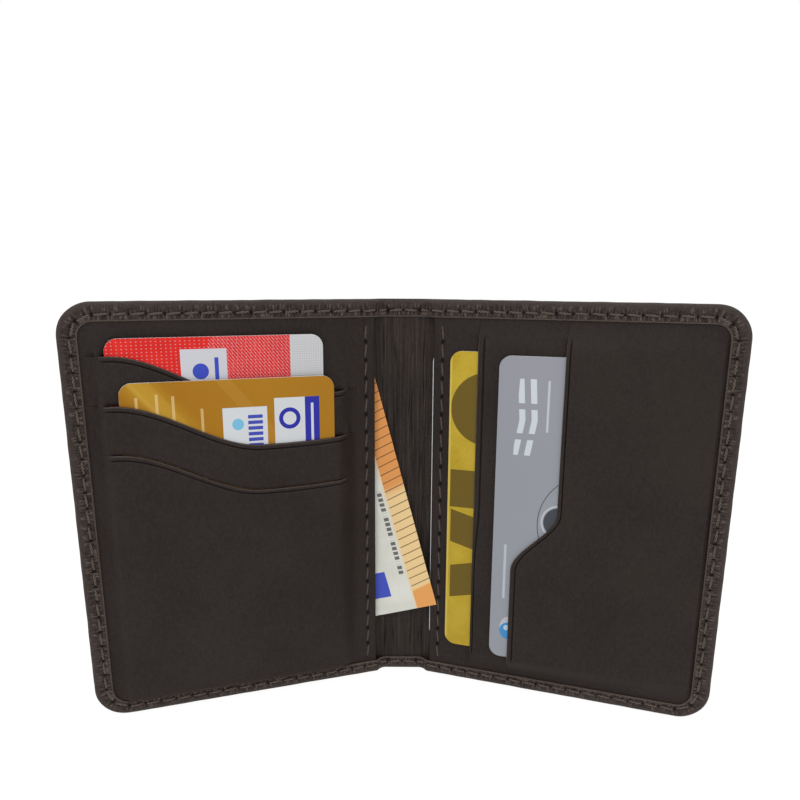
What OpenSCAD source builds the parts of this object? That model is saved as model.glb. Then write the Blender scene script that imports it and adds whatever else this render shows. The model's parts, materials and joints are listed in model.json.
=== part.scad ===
/* [Wallet] */
// Height of the wallet along the spine
wallet_h = 110; // [106:0.5:120]
// Width of one half, from its fold line to its outer edge
leaf_w = 80.6; // [79.6:0.1:92]
// Distance of each fold line from the middle of the spine
fold_x = 7.5; // [7.5:0.1:9]
// Angle that each half stands forward of the spine at rest
open_angle = 19.7; // [10:0.1:40]
// Radius of the outer corners
corner_r = 8.4; // [6:0.2:12]

/* [Leather] */
// Thickness of the outer leather
cover_t = 1.2; // [1:0.05:1.25]
// Thickness of the lining leather
lining_t = 0.6; // [0.4:0.05:0.65]
// Thickness of the pocket leather
panel_t = 0.8; // [0.6:0.05:0.85]
// Thickness of the turned-in hem, pared thinner than the leather
hem_t = 0.7; // [0.5:0.05:0.75]
// Width of the hem along the top and the outer edge
hem_w = 4.7; // [4.2:0.1:4.8]
// Width of the hem along the bottom
hem_bottom_w = 3.8; // [3.2:0.1:3.9]
// Width of the slack leather that bends, on the spine's side of a fold
fold_slack = 1.5; // [1:0.1:3]
// Width of the slack leather that bends, on the half's side of a fold
leaf_slack = 2.2; // [2.1:0.1:2.6]

/* [Pockets] */
// Space left beside a card behind each pocket panel, where notes go
bill_gap = 0.24; // [0.19:0.01:0.44]
// Thickness of the textile behind each pocket panel
backing_t = 0.3; // [0.2:0.05:0.35]
// Thickness of the textile between two pockets
divider_t = 0.2; // [0.1:0.05:0.2]
// Free edge of the left pocket panel, from its fold line
left_free_u = 1.5; // [1.5:0.1:3]
// Free edge of the right pocket panel, from its fold line
right_free_u = 1.9; // [1.5:0.1:3]
// Height of the first left slit at its outer end
slit_top_z = 97.1; // [96:0.1:98.5]
// Height between one left slit and the next
slit_pitch = 12; // [11:0.1:13]
// How far a left slit falls along its S curve
slit_drop = 11.9; // [8:0.1:12.5]
// Width of the open cut where no card is in the slot
slit_gap = 0.4; // [0.2:0.1:0.8]
// Distance of the fourth slit, which is straight, from the outer edge
straight_slit_d = 66; // [65:0.1:68]
// Distance of the fifth slit's upper half from the outer edge
upper_slit_d = 42.8; // [40:0.1:46]
// Distance of the fifth slit's lower half from the outer edge
lower_slit_d = 54.6; // [50:0.1:56]

/* [Cards] */
// Long side of a card
card_l = 85.6; // [85.5:0.1:85.7]
// Short side of a card
card_s = 53.98; // [53.9:0.02:54.1]
// Thickness of a card
card_t = 0.76; // [0.68:0.02:0.8]
// Radius of a card's corners
card_r = 3.18; // [2.9:0.02:3.4]

/* [Banknote] */
// Width of the folded banknote
note_w = 70; // [60:1:74]
// Height of the folded banknote
note_h = 77; // [62:1:80]
// Thickness of the folded banknote
note_t = 0.3; // [0.2:0.05:0.4]
// Lean of the banknote in its compartment
note_lean = 15.3; // [8:0.1:16]

/* [Stitches] */
// Distance from one hem stitch to the next
hem_pitch = 4.2; // [3.5:0.1:6]
// Distance from one panel stitch to the next
panel_pitch = 5; // [4:0.1:7]
// Width of the thread
thread_w = 0.55; // [0.4:0.05:0.7]
// Height of a stitch above the leather
thread_h = 0.25; // [0.15:0.05:0.35]

/* [Hidden] */
$fn = 48;

LEATHER = [0.20, 0.16, 0.15];
LINING = [0.23, 0.19, 0.17];
TEXTILE = [0.12, 0.10, 0.10];
THREAD = [0.36, 0.27, 0.21];

// Levels in the stack, counted from a half's outer face towards the inside
axis_level = cover_t / 2;
lining_level = cover_t;
spine_top_level = lining_level + lining_t;
backing_level = spine_top_level + card_t + bill_gap;
panel_level = backing_level + backing_t;
hem_level = panel_level + panel_t;
leaf_top_level = hem_level + hem_t;
spine_hem_top_level = spine_top_level + hem_t;

// Clearances between neighbours
snug = 0.05;
edge_gap = 0.1;
notch_gap = 0.3;

hinge_y = (leaf_w * sin(open_angle) + (leaf_top_level - axis_level) * cos(open_angle) - axis_level) / 2;
spine_end_x = fold_x - fold_slack;
hem_inner_u = leaf_w - hem_w;
hem_inner_top_z = wallet_h - hem_w;
inner_u = leaf_w - cover_t - edge_gap;
inner_low_z = cover_t + edge_gap;
inner_top_z = wallet_h - inner_low_z;
pocket_low_z = hem_bottom_w + 0.2;
pocket_outer_u = hem_inner_u - 0.2;
bottom_wall_t = 0.8;

// Stitches: how far they stand inside the edges, and how long they are
stitch_inset = 3;
bottom_stitch_inset = 2.4;
stitch_l = 2.9;
panel_stitch_l = 3.4;
free_edge_stitch = 2.5;
sunk_thread_h = thread_h * 0.6;

// How far a solid side or end stays inside the edges of the strip it carries
seat = 0.4;

// Left pockets: cards, slits and leather strips all lean by the same small angle
red_low_z = 15.7;
gold_low_z = pocket_low_z + bottom_wall_t + 0.2;
red_outer_d = 10.4;
gold_outer_d = 12.8;
column_start_d = 8.2;
column_outer_d = 9.9;
column_inner_d = 67.4;
column_end_d = 75.5;
red_level = panel_level + edge_gap;
stitch_top_level = leaf_top_level + thread_h;
stitch_low_side_z = wallet_h - stitch_inset - thread_w / 2;
left_lean = atan((stitch_top_level + snug - red_level) / (stitch_low_side_z - red_low_z));
strip_b_level = red_level + card_t + snug;
gold_level = strip_b_level + panel_t + snug;
strip_c_level = gold_level + card_t + snug;
strip_d_level = strip_c_level + divider_t + snug;

// Right pockets: the inner card and the outer card lean by different angles
yellow_inner_u = leaf_w - 73.7;
grey_inner_u = leaf_w - 59.9;
white_inner_u = leaf_w - 79.25;
yellow_low_z = 11.1;
grey_low_z = 10.6;
white_low_z = 10.8;
straight_slit_u = leaf_w - straight_slit_d;
upper_slit_u = leaf_w - upper_slit_d;
lower_slit_u = leaf_w - lower_slit_d;
column_low_z = grey_low_z - 0.8;
column_top_z = yellow_low_z + card_l + 1;
column_height = 4.5;
outer_column_w = 0.8;
pocket_r = corner_r - hem_w;
yellow_lean = 0.93;
grey_lean = 2.4;
yellow_level = hem_level + snug;
strip_f_level = yellow_level + card_t + snug;
grey_level = strip_f_level + panel_t + snug - tan(yellow_lean) * (upper_slit_u - straight_slit_u);
strip_g_level = grey_level + card_t + snug;

// The S bend of the fifth slit lies between these heights
bend_top_z = 54.5;
bend_low_z = 37.5;

// The banknote's path over the spine, and its lowest corner
note_level = 2.25;
note_start_u = 1.2;
note_tip_u = 4;
note_tip_level = hem_level + snug;
note_corner_z = 22.5;

function smooth(t) = let (c = max(0, min(1, t))) c * c * (3 - 2 * c);

// Height of a left slit at distance d from the outer edge, below its outer end
function s_curve(d) =
  -slit_drop * smooth((d - 11) / 36) + 1.1 * pow(max(0, (d - 50) / 22), 2);

// Distance of the fifth slit from the fold line at height z
function bend_curve(z) =
  lower_slit_u + (upper_slit_u - lower_slit_u) * smooth((z - bend_low_z) / (bend_top_z - bend_low_z));

function slit_z(k, d) = slit_top_z - slit_pitch * (k - 1) + s_curve(d);
function left_rise(z) = tan(left_lean) * (z - red_low_z);

// Points seen from above: on the spine, on the right half and where they meet
function on_spine(x, w) = [x, hinge_y + axis_level - w];
function on_leaf(u, w) = [
  fold_x + u * cos(open_angle) - (w - axis_level) * sin(open_angle),
  hinge_y - u * sin(open_angle) - (w - axis_level) * cos(open_angle)
];
function mitre(w) = [
  fold_x - (w - axis_level) * tan(open_angle / 2),
  hinge_y + axis_level - w
];

// Puts a right half's shape in its place
module leaf() {
  translate([fold_x, hinge_y, 0])
    rotate([0, 0, -open_angle])
      children();
}

// Puts the same shape in place on the left
module left_leaf() {
  mirror([1, 0, 0]) leaf() children();
}

// A flat layer of a half: its outline is drawn as distance from the fold and height
module layer(level, t) {
  translate([0, axis_level - level, 0])
    rotate([90, 0, 0])
      linear_extrude(t) children();
}

// A layer that leans forward with height, as the left cards do
module left_layer(level, t) {
  translate([0, axis_level - level, red_low_z])
    rotate([90 + left_lean, 0, 0])
      linear_extrude(t) translate([0, -red_low_z]) children();
}

// A layer that leans forward towards the spine, about a line at pivot_u
module right_layer(level, t, lean, pivot_u) {
  translate([pivot_u, axis_level - level, 0])
    rotate([0, 0, lean])
      rotate([90, 0, 0])
        linear_extrude(t) translate([-pivot_u, 0]) children();
}

// A rectangle with its two outer corners rounded
module leaf_shape(u0, u1, z0, z1, r) {
  translate([u0, z0]) square([u1 - r - u0, z1 - z0]);
  translate([u0, z0 + r]) square([u1 - u0, z1 - z0 - 2 * r]);
  for (z = [z0 + r, z1 - r])
    translate([u1 - r, z]) circle(r);
}

module cover_shape() {
  leaf_shape(leaf_slack, leaf_w, 0, wallet_h, corner_r);
}

module lining_shape() {
  leaf_shape(leaf_slack, inner_u, inner_low_z, inner_top_z, corner_r - cover_t - edge_gap);
}

// A pocket panel: its free edge stands back where the hem crosses it
module panel_shape(free_u) {
  low_z = hem_bottom_w + notch_gap;
  leaf_shape(leaf_slack + edge_gap, inner_u, inner_low_z, inner_top_z, corner_r - cover_t - edge_gap);
  translate([free_u, low_z]) square([leaf_w / 2, hem_inner_top_z - notch_gap - low_z]);
}

// The strip of hem, or of the rolled edge behind it, along three sides of a half
module edge_shape(side, low) {
  difference() {
    cover_shape();
    leaf_shape(leaf_slack - 1, leaf_w - side, low, wallet_h - side, corner_r - side);
  }
}

// Outer leather of one half with its rolled edge and turned-in hem
module leaf_cover() {
  layer(0, cover_t) cover_shape();
  layer(cover_t / 2, hem_level - cover_t / 2) edge_shape(cover_t, cover_t);
  layer(hem_level, hem_t) edge_shape(hem_w, hem_bottom_w);
}

module left_cover() { color(LEATHER) left_leaf() leaf_cover(); }
module right_cover() { color(LEATHER) leaf() leaf_cover(); }

// A block of the spine strip between two heights and two levels
module spine_block(low, top, z0, z1) {
  translate([-spine_end_x, hinge_y + axis_level - top, z0])
    cube([2 * spine_end_x, top - low, z1 - z0]);
}

module spine_cover() {
  color(LEATHER) {
    spine_block(0, cover_t, 0, wallet_h);
    spine_block(cover_t / 2, spine_top_level, 0, cover_t);
    spine_block(cover_t / 2, spine_top_level, wallet_h - cover_t, wallet_h);
    spine_block(spine_top_level, spine_hem_top_level, 0, hem_bottom_w);
    spine_block(spine_top_level, spine_hem_top_level, hem_inner_top_z, wallet_h);
  }
}

// Outline, from above, of a layer that bends at the fold and rises to the half's level
module bend_shape(spine_low, leaf_low, spine_top, leaf_top) {
  polygon([
    on_spine(spine_end_x, spine_low),
    mitre(spine_low + (leaf_low - spine_low) * 0.25),
    on_leaf(leaf_slack, leaf_low),
    on_leaf(leaf_slack, leaf_top),
    mitre(spine_top + (leaf_top - spine_top) * 0.25),
    on_spine(spine_end_x, spine_top)
  ]);
}

// Slack outer leather at a fold, with the rolled edge and hem climbing onto the half
module fold_leather() {
  linear_extrude(wallet_h) bend_shape(0, 0, cover_t, cover_t);
  for (z = [0, wallet_h - cover_t])
    translate([0, 0, z])
      linear_extrude(cover_t) bend_shape(0, 0, spine_hem_top_level, leaf_top_level);
  linear_extrude(hem_bottom_w)
    bend_shape(spine_top_level, hem_level, spine_hem_top_level, leaf_top_level);
  translate([0, 0, hem_inner_top_z])
    linear_extrude(hem_w)
      bend_shape(spine_top_level, hem_level, spine_hem_top_level, leaf_top_level);
}

module left_fold() { color(LEATHER) mirror([1, 0, 0]) fold_leather(); }
module right_fold() { color(LEATHER) fold_leather(); }

module leaf_lining() {
  layer(lining_level, lining_t) lining_shape();
}

module left_lining() { color(LINING) left_leaf() leaf_lining(); }
module right_lining() { color(LINING) leaf() leaf_lining(); }
module spine_lining() {
  color(LINING) spine_block(lining_level, spine_top_level, cover_t, wallet_h - cover_t);
}

module fold_lining() {
  translate([0, 0, cover_t])
    linear_extrude(wallet_h - 2 * cover_t)
      bend_shape(lining_level, lining_level, spine_top_level, spine_top_level);
}

module left_fold_lining() { color(LINING) mirror([1, 0, 0]) fold_lining(); }
module right_fold_lining() { color(LINING) fold_lining(); }

module left_backing() {
  color(TEXTILE) left_leaf() layer(backing_level, backing_t) panel_shape(left_free_u);
}

module right_backing() {
  color(TEXTILE) leaf() layer(backing_level, backing_t) panel_shape(right_free_u);
}

// Area between two edges given as heights at each distance from the outer edge
module strip_shape(low_k, low_gap, top_k, top_gap) {
  steps = 28;
  ds = [for (i = [0:steps]) column_start_d + (column_end_d - column_start_d) * i / steps];
  low = low_k > 3
    ? [for (d = ds) [leaf_w - d, pocket_low_z + seat]]
    : [for (d = ds) [leaf_w - d, slit_z(low_k, d) + low_gap]];
  top = [for (i = [steps:-1:0]) [leaf_w - ds[i], slit_z(top_k, ds[i]) - top_gap]];
  polygon(concat(low, top));
}

// Solid side of a pocket strip, from the panel's level up into the strip
module side_column(d0, d1, z0, z1, strip_level) {
  front = strip_level + panel_t / 2;
  translate([leaf_w - d1, 0, 0])
    rotate([90, 0, 90])
      linear_extrude(d1 - d0)
        polygon([
          [axis_level - panel_level, z0],
          [axis_level - panel_level, z1],
          [axis_level - front - left_rise(z1), z1],
          [axis_level - front - left_rise(z0), z0]
        ]);
}

module side_columns(d0, d1) {
  z = [for (k = [1:3]) slit_z(k, d0) - seat];
  side_column(d0, d1, z[1], z[0], strip_b_level);
  side_column(d0, d1, z[2], z[1], strip_c_level);
  side_column(d0, d1, pocket_low_z, z[2], strip_d_level);
}

// Left pocket leather: one sheet cut by three S slits, pushed forward by the cards
module left_panel() {
  color(LEATHER) left_leaf() {
    layer(panel_level, panel_t)
      difference() {
        panel_shape(left_free_u);
        intersection() {
          strip_shape(4, 0, 1, 0);
          translate([leaf_w - column_inner_d, pocket_low_z])
            square([column_inner_d - column_outer_d, wallet_h]);
        }
      }
    left_layer(strip_b_level, panel_t) strip_shape(2, 0, 1, 0);
    left_layer(strip_c_level, panel_t) strip_shape(3, slit_gap / 2, 2, 0);
    left_layer(strip_d_level, panel_t) strip_shape(4, 0, 3, slit_gap / 2);
    side_columns(column_start_d + seat, column_outer_d);
    side_columns(column_inner_d, column_end_d - seat);
    side_column(
      column_start_d + seat, column_end_d - seat,
      pocket_low_z, pocket_low_z + bottom_wall_t, strip_d_level
    );
  }
}

// Middle of a right strip's thickness at distance u from the fold
function f_middle(u) = strip_f_level + panel_t / 2 - tan(yellow_lean) * (u - straight_slit_u);
function g_middle(u) = strip_g_level + panel_t / 2 - tan(grey_lean) * (u - upper_slit_u);

// Solid part under a right strip, seen from above: it ends inside the strip's thickness
module column_shape(u0, u1, level0, level1) {
  polygon([
    [u0, axis_level - panel_level],
    [u1, axis_level - panel_level],
    [u1, axis_level - level1],
    [u0, axis_level - level0]
  ]);
}

// Solid end of the right strips above or below the cards
module end_column(z0, z1, slit_u, outer_u) {
  f0 = straight_slit_u + seat;
  f1 = slit_u - seat;
  g0 = slit_u + seat;
  g1 = outer_u - seat;
  translate([0, 0, z0])
    linear_extrude(z1 - z0) {
      column_shape(f0, f1, f_middle(f0), f_middle(f1));
      column_shape(g0, g1, g_middle(g0), g_middle(g1));
    }
}

// Solid outer side of the outermost right strip
module outer_column() {
  u0 = pocket_outer_u - outer_column_w;
  low_z = pocket_low_z + pocket_r;
  translate([0, 0, low_z])
    linear_extrude(column_top_z + column_height - low_z)
      column_shape(u0, pocket_outer_u, g_middle(u0), g_middle(pocket_outer_u));
}

// Edge of the fifth slit as a list of points, from the bottom up
function bend_points(z0, z1, steps) =
  [for (i = [0:steps]) let (z = z0 + (z1 - z0) * i / steps) [bend_curve(z), z]];

// Right pocket leather: one sheet cut by a straight slit and a bent one
module right_panel() {
  top_z = column_top_z + column_height;
  strip_outer_u = pocket_outer_u - seat;
  round_corner = [
    for (a = [0:-15:-90])
      [strip_outer_u + pocket_r * (cos(a) - 1), pocket_low_z + pocket_r * (sin(a) + 1)]
  ];
  bend = concat(
    [[lower_slit_u, pocket_low_z]],
    bend_points(bend_low_z, bend_top_z, 16),
    [[upper_slit_u, top_z]]
  );
  color(LEATHER) leaf() {
    layer(panel_level, panel_t)
      difference() {
        panel_shape(right_free_u);
        translate([straight_slit_u, column_low_z])
          square([
            pocket_outer_u - outer_column_w - straight_slit_u, column_top_z - column_low_z
          ]);
      }
    right_layer(strip_f_level, panel_t, yellow_lean, straight_slit_u)
      polygon(concat([[straight_slit_u, top_z], [straight_slit_u, pocket_low_z]], bend));
    right_layer(strip_g_level, panel_t, grey_lean, upper_slit_u)
      polygon(concat([[strip_outer_u, top_z]], round_corner, bend));
    end_column(pocket_low_z, column_low_z, lower_slit_u, pocket_outer_u - pocket_r);
    end_column(column_top_z, top_z, upper_slit_u, pocket_outer_u);
    outer_column();
  }
}

// Textile behind a left strip, its top cut along the slit above it
module left_divider(level, k) {
  left_layer(level, divider_t)
    intersection() {
      translate([leaf_w - column_inner_d + edge_gap, pocket_low_z + bottom_wall_t + edge_gap])
        square([column_inner_d - column_outer_d - 2 * edge_gap, wallet_h]);
      strip_shape(4, 0, k, 0.6);
    }
}

module left_divider_1() {
  color(TEXTILE) left_leaf() left_divider(gold_level - snug - divider_t, 2);
}

module left_divider_2() {
  color(TEXTILE) left_leaf() left_divider(strip_c_level, 3);
}

module right_divider() {
  color(TEXTILE) leaf()
    right_layer(grey_level - snug - divider_t, divider_t, grey_lean, upper_slit_u)
      translate([upper_slit_u + 0.5, column_low_z + edge_gap])
        square([
          pocket_outer_u - outer_column_w - edge_gap - upper_slit_u - 0.5,
          column_top_z - column_low_z - 2 * edge_gap
        ]);
}

// One stitch lying on the surface at a level, turned by an angle in the half's plane
module stitch(u, z, angle, level, l, h = thread_h) {
  translate([u, axis_level - level, z])
    rotate([90, 0, 0])
      linear_extrude(h)
        rotate(angle) square([l, thread_w], center = true);
}

// Stitches along the hem of a half: bottom, round the corner, side, corner and top
module leaf_hem_stitches() {
  r = corner_r - stitch_inset;
  straight = leaf_w - corner_r - leaf_slack;
  arc = r * PI / 2;
  side = wallet_h - 2 * corner_r;
  n = floor(straight / hem_pitch);
  for (i = [0:n - 1]) {
    u = leaf_slack + hem_pitch * (i + 0.5);
    stitch(u, bottom_stitch_inset, 0, leaf_top_level, stitch_l);
    stitch(u, wallet_h - stitch_inset, 0, leaf_top_level, stitch_l);
  }
  for (a = [-67.5, -22.5, 22.5, 67.5]) {
    centre_z = a < 0 ? corner_r : wallet_h - corner_r;
    stitch(
      leaf_w - corner_r + r * cos(a), centre_z + r * sin(a), a + 90, leaf_top_level, stitch_l
    );
  }
  m = floor(side / hem_pitch);
  for (i = [0:m - 1])
    stitch(leaf_w - stitch_inset, corner_r + side * (i + 0.5) / m, 90, leaf_top_level, stitch_l);
}

module left_hem_stitches() { color(THREAD) left_leaf() leaf_hem_stitches(); }
module right_hem_stitches() { color(THREAD) leaf() leaf_hem_stitches(); }

module spine_hem_stitches() {
  n = floor(2 * spine_end_x / hem_pitch);
  color(THREAD)
    for (i = [0:n - 1], z = [bottom_stitch_inset, wallet_h - stitch_inset])
      translate([2 * spine_end_x * ((i + 0.5) / n - 0.5), hinge_y, 0])
        stitch(0, z, 0, spine_hem_top_level, stitch_l);
}

// Stitches along the free edge of a pocket panel
module panel_stitches(free_u) {
  low = hem_bottom_w + 2;
  n = floor((hem_inner_top_z - 2 - low) / panel_pitch);
  for (i = [0:n - 1])
    stitch(
      free_u + free_edge_stitch, low + panel_pitch * (i + 0.5), 90,
      hem_level, panel_stitch_l, sunk_thread_h
    );
}

module left_panel_stitches() { color(THREAD) left_leaf() panel_stitches(left_free_u); }
module right_panel_stitches() { color(THREAD) leaf() panel_stitches(right_free_u); }

// Outline of a card standing on its short side, from its lower corner
module card_shape() {
  translate([card_r, 0]) square([card_s - 2 * card_r, card_l]);
  translate([0, card_r]) square([card_s, card_l - 2 * card_r]);
  for (u = [card_r, card_s - card_r], z = [card_r, card_l - card_r])
    translate([u, z]) circle(card_r);
}

module left_card(level, outer_d, low_z) {
  left_leaf() left_layer(level, card_t)
    translate([leaf_w - outer_d - card_s, low_z]) card_shape();
}

module red_card() { color([0.86, 0.15, 0.15]) left_card(red_level, red_outer_d, red_low_z); }
module gold_card() { color([0.78, 0.56, 0.14]) left_card(gold_level, gold_outer_d, gold_low_z); }

module yellow_card() {
  color([0.82, 0.66, 0.16]) leaf()
    right_layer(yellow_level, card_t, yellow_lean, straight_slit_u)
      translate([yellow_inner_u, yellow_low_z]) card_shape();
}

module grey_card() {
  color([0.60, 0.62, 0.66]) leaf()
    right_layer(grey_level, card_t, grey_lean, upper_slit_u)
      translate([grey_inner_u, grey_low_z]) card_shape();
}

module white_card() {
  color([0.92, 0.92, 0.90]) leaf()
    layer(spine_top_level + edge_gap, card_t)
      translate([white_inner_u, white_low_z]) card_shape();
}

// Path of the banknote from above: inside the left half, then over the spine to the right
function mirrored(p) = [-p[0], p[1]];
function note_path(level) = [
  mirrored(on_leaf(leaf_w - 4, level)),
  mirrored(on_leaf(note_start_u, level)),
  on_leaf(note_tip_u, note_tip_level + level - note_level)
];

// The banknote's leaning outline, its lowest corner at the tip of the path
module note_outline() {
  tip = note_path(note_level)[2];
  translate([tip[0], 0, note_corner_z])
    rotate([90, 0, 0])
      rotate(note_lean)
        translate([-note_w * cos(open_angle), 0])
          linear_extrude(2 * leaf_w, center = true)
            square([note_w * cos(open_angle), note_h]);
}

module bent_note() {
  back = note_path(note_level);
  front = note_path(note_level + note_t);
  intersection() {
    linear_extrude(wallet_h)
      polygon([back[0], back[1], back[2], front[2], front[1], front[0]]);
    note_outline();
  }
}

// Everything on one side of the middle of the spine
module half_space(side) {
  translate([side < 0 ? -2 * leaf_w : 0, -2 * leaf_w, 0])
    cube([2 * leaf_w, 4 * leaf_w, wallet_h]);
}

module banknote() {
  color([0.88, 0.62, 0.36]) intersection() { bent_note(); half_space(-1); }
}

module banknote_corner() {
  color([0.88, 0.62, 0.36]) intersection() { bent_note(); half_space(1); }
}

left_cover();
right_cover();
spine_cover();
left_fold();
right_fold();
left_lining();
right_lining();
spine_lining();
left_fold_lining();
right_fold_lining();
left_backing();
right_backing();
left_panel();
right_panel();
left_divider_1();
left_divider_2();
right_divider();
left_hem_stitches();
right_hem_stitches();
spine_hem_stitches();
left_panel_stitches();
right_panel_stitches();
red_card();
gold_card();
yellow_card();
grey_card();
white_card();
banknote();
banknote_corner();
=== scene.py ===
"""An upright bifold card wallet in dark leather, standing open with its cards and a banknote.

Each half is drawn flat, in millimetres: u is the distance from its fold, z the height and w the
level in the stack, counted from the outer face towards the inside. place() and leaf() then put
those points in the row frame.
"""

import json
import math
from functools import partial

import bmesh
import bpy
import numpy as np
from mathutils import Matrix, Vector


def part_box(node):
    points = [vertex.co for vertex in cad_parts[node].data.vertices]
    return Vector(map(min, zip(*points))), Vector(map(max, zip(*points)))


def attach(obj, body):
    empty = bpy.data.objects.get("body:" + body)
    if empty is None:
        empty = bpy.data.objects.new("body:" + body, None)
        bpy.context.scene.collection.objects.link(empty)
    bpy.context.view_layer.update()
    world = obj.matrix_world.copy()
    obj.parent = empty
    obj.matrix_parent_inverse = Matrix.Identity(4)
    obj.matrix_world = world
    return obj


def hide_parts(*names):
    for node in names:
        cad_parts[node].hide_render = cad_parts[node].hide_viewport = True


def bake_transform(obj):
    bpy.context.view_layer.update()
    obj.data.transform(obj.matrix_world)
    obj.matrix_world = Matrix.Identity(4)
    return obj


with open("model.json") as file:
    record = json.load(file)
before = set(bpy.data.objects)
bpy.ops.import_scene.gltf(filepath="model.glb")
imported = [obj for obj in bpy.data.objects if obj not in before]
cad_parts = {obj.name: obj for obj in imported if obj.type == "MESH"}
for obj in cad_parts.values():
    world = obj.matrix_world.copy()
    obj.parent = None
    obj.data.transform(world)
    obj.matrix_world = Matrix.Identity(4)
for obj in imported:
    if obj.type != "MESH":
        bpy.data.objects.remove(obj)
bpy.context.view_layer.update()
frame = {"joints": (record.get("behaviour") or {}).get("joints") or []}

# ---- The wallet's driving sizes, from the frame ----
MM = 0.001
HALVES = {-1: "left", 1: "right"}
FOLDS = {j["name"]: j for j in frame["joints"]}
OPEN = math.radians(-FOLDS["right_fold"]["range_deg"][0])
FOLD_X = FOLDS["right_fold"]["pos_m"][0] / MM
HINGE_Y = FOLDS["right_fold"]["pos_m"][1] / MM
WALLET_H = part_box("right_cover")[1].z / MM
COVER_T = 1.2
AXIS = COVER_T / 2
LEAF_W = (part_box("right_cover")[1].x / MM - FOLD_X - AXIS * math.sin(OPEN)) / math.cos(OPEN)

# ---- Levels and sizes of the leather ----
LINING_T = 0.6
PANEL_T = 0.8
CARD_T = 0.76
NOTE_GAP = 0.24
BACKING_T = 0.3
DIVIDER_T = 0.2
SNUG = 0.05
SPINE_TOP = COVER_T + LINING_T
BACKING = SPINE_TOP + (CARD_T + NOTE_GAP)
PANEL = BACKING + BACKING_T
HEM = PANEL + PANEL_T
HEM_T = 0.7
LEAF_TOP = HEM + HEM_T
CORNER_R = 8.4
HEM_W = 4.7
HEM_BOTTOM_W = 3.8
STITCH_E = 3.0
BEND_START = FOLD_X - 2.0
BEND_END = FOLD_X + 2.0
FREE_U = {-1: 1.5, 1: 1.9}
PANEL_END_U = LEAF_W - 3.6
PANEL_LOW_Z = 2.9
PANEL_TOP_Z = WALLET_H - 3.4

# ---- Cards: a short side, a long side and a corner radius ----
CARD_S = 53.98
CARD_L = 85.6
CARD_R = 3.18
RED_LEVEL = PANEL + 0.1
RED_LOW_Z = 15.7
LEFT_LEAN = math.atan((LEAF_TOP + 0.3 - RED_LEVEL) / (WALLET_H - STITCH_E - 0.275 - RED_LOW_Z))
STRIP_B = RED_LEVEL + CARD_T + SNUG
GOLD_LEVEL = STRIP_B + PANEL_T + SNUG
STRIP_C = GOLD_LEVEL + CARD_T + SNUG
STRIP_D = STRIP_C + DIVIDER_T + SNUG
SLIT_START_D = 8.0
SLIT_END_D = 71.5

STRAIGHT_SLIT_U = LEAF_W - 66.0
UPPER_SLIT_U = LEAF_W - 42.8
LOWER_SLIT_U = LEAF_W - 54.6
YELLOW_LEAN = math.radians(0.93)
GREY_LEAN = math.radians(2.4)
YELLOW_LEVEL = HEM + SNUG
STRIP_F = YELLOW_LEVEL + CARD_T + SNUG
GREY_LEVEL = STRIP_F + PANEL_T + SNUG - math.tan(YELLOW_LEAN) * (UPPER_SLIT_U - STRAIGHT_SLIT_U)
STRIP_G = GREY_LEVEL + CARD_T + SNUG
SLIT_LOW_Z = 8.0
SLIT_TOP_Z = 102.0


# ---- Numbers ----
def smooth(t):
    """0 below 0, 1 above 1 and a soft S between."""
    t = np.clip(t, 0.0, 1.0)
    return t * t * (3.0 - 2.0 * t)


def bell(t):
    return np.exp(-np.square(t))


def wander(x, wave, seed):
    """A slow random curve of about unit height, with waves of roughly that length."""
    phases = np.random.default_rng(seed).uniform(0, 2 * math.pi, 4)
    parts = [np.sin(2 * math.pi * x / (wave * k) + p) for k, p in zip((1.0, 0.61, 1.73, 0.37), phases)]
    return sum(parts) / 2.0


def steps(*pieces):
    """Numbers from several (start, end, step) stretches, sorted, each once."""
    found = [np.arange(a, b + step * 0.01, step) for a, b, step in pieces]
    ends = [[b] for _, b, _ in pieces]
    return np.unique(np.round(np.concatenate(found + ends), 3))


# ---- From flat leather to the row frame ----
def bend_table():
    """The neutral line of the right half from above, bent softly about its fold."""
    c = np.linspace(0.0, 100.0, 10001)
    angle = OPEN * smooth((c - BEND_START) / (BEND_END - BEND_START))
    middle = (angle[1:] + angle[:-1]) / 2
    x = np.concatenate([[0.0], np.cumsum(np.cos(middle))]) * (c[1] - c[0])
    y = HINGE_Y - np.concatenate([[0.0], np.cumsum(np.sin(middle))]) * (c[1] - c[0])
    u = BEND_END - FOLD_X
    share = smooth((c - BEND_START) / (BEND_END - BEND_START))
    x += share * (FOLD_X + u * math.cos(OPEN) - np.interp(BEND_END, c, x))
    y += share * (HINGE_Y - u * math.sin(OPEN) - np.interp(BEND_END, c, y))
    return c, angle, x, y


BEND_C, BEND_ANGLE, BEND_X, BEND_Y = bend_table()


def place(side, c, w, z):
    """Leather that bends: c is the distance from the middle of the spine."""
    angle = np.interp(c, BEND_C, BEND_ANGLE)
    x = np.interp(c, BEND_C, BEND_X) + (AXIS - w) * np.sin(angle)
    y = np.interp(c, BEND_C, BEND_Y) + (AXIS - w) * np.cos(angle)
    return np.stack([side * x, y, z], axis=-1)


def leaf(side, u, w, z):
    """A rigid place on a half."""
    x = FOLD_X + u * math.cos(OPEN) + (AXIS - w) * math.sin(OPEN)
    y = HINGE_Y - u * math.sin(OPEN) + (AXIS - w) * math.cos(OPEN)
    return np.stack([side * x, y, z], axis=-1)


def spot(where, side, c, w):
    """One point by place() or leaf(), at height 0."""
    return where(side, np.array([c]), np.array([w]), np.array([0.0]))[0]


# ---- Meshes ----
def as_points(*parts):
    """Arrays of one coordinate each, as one list of points."""
    return np.stack(parts, axis=-1).reshape(-1, 3)


def angle_ring(sides):
    """Angles evenly round a circle."""
    return np.linspace(0, 2 * math.pi, sides, endpoint=False)


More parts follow.
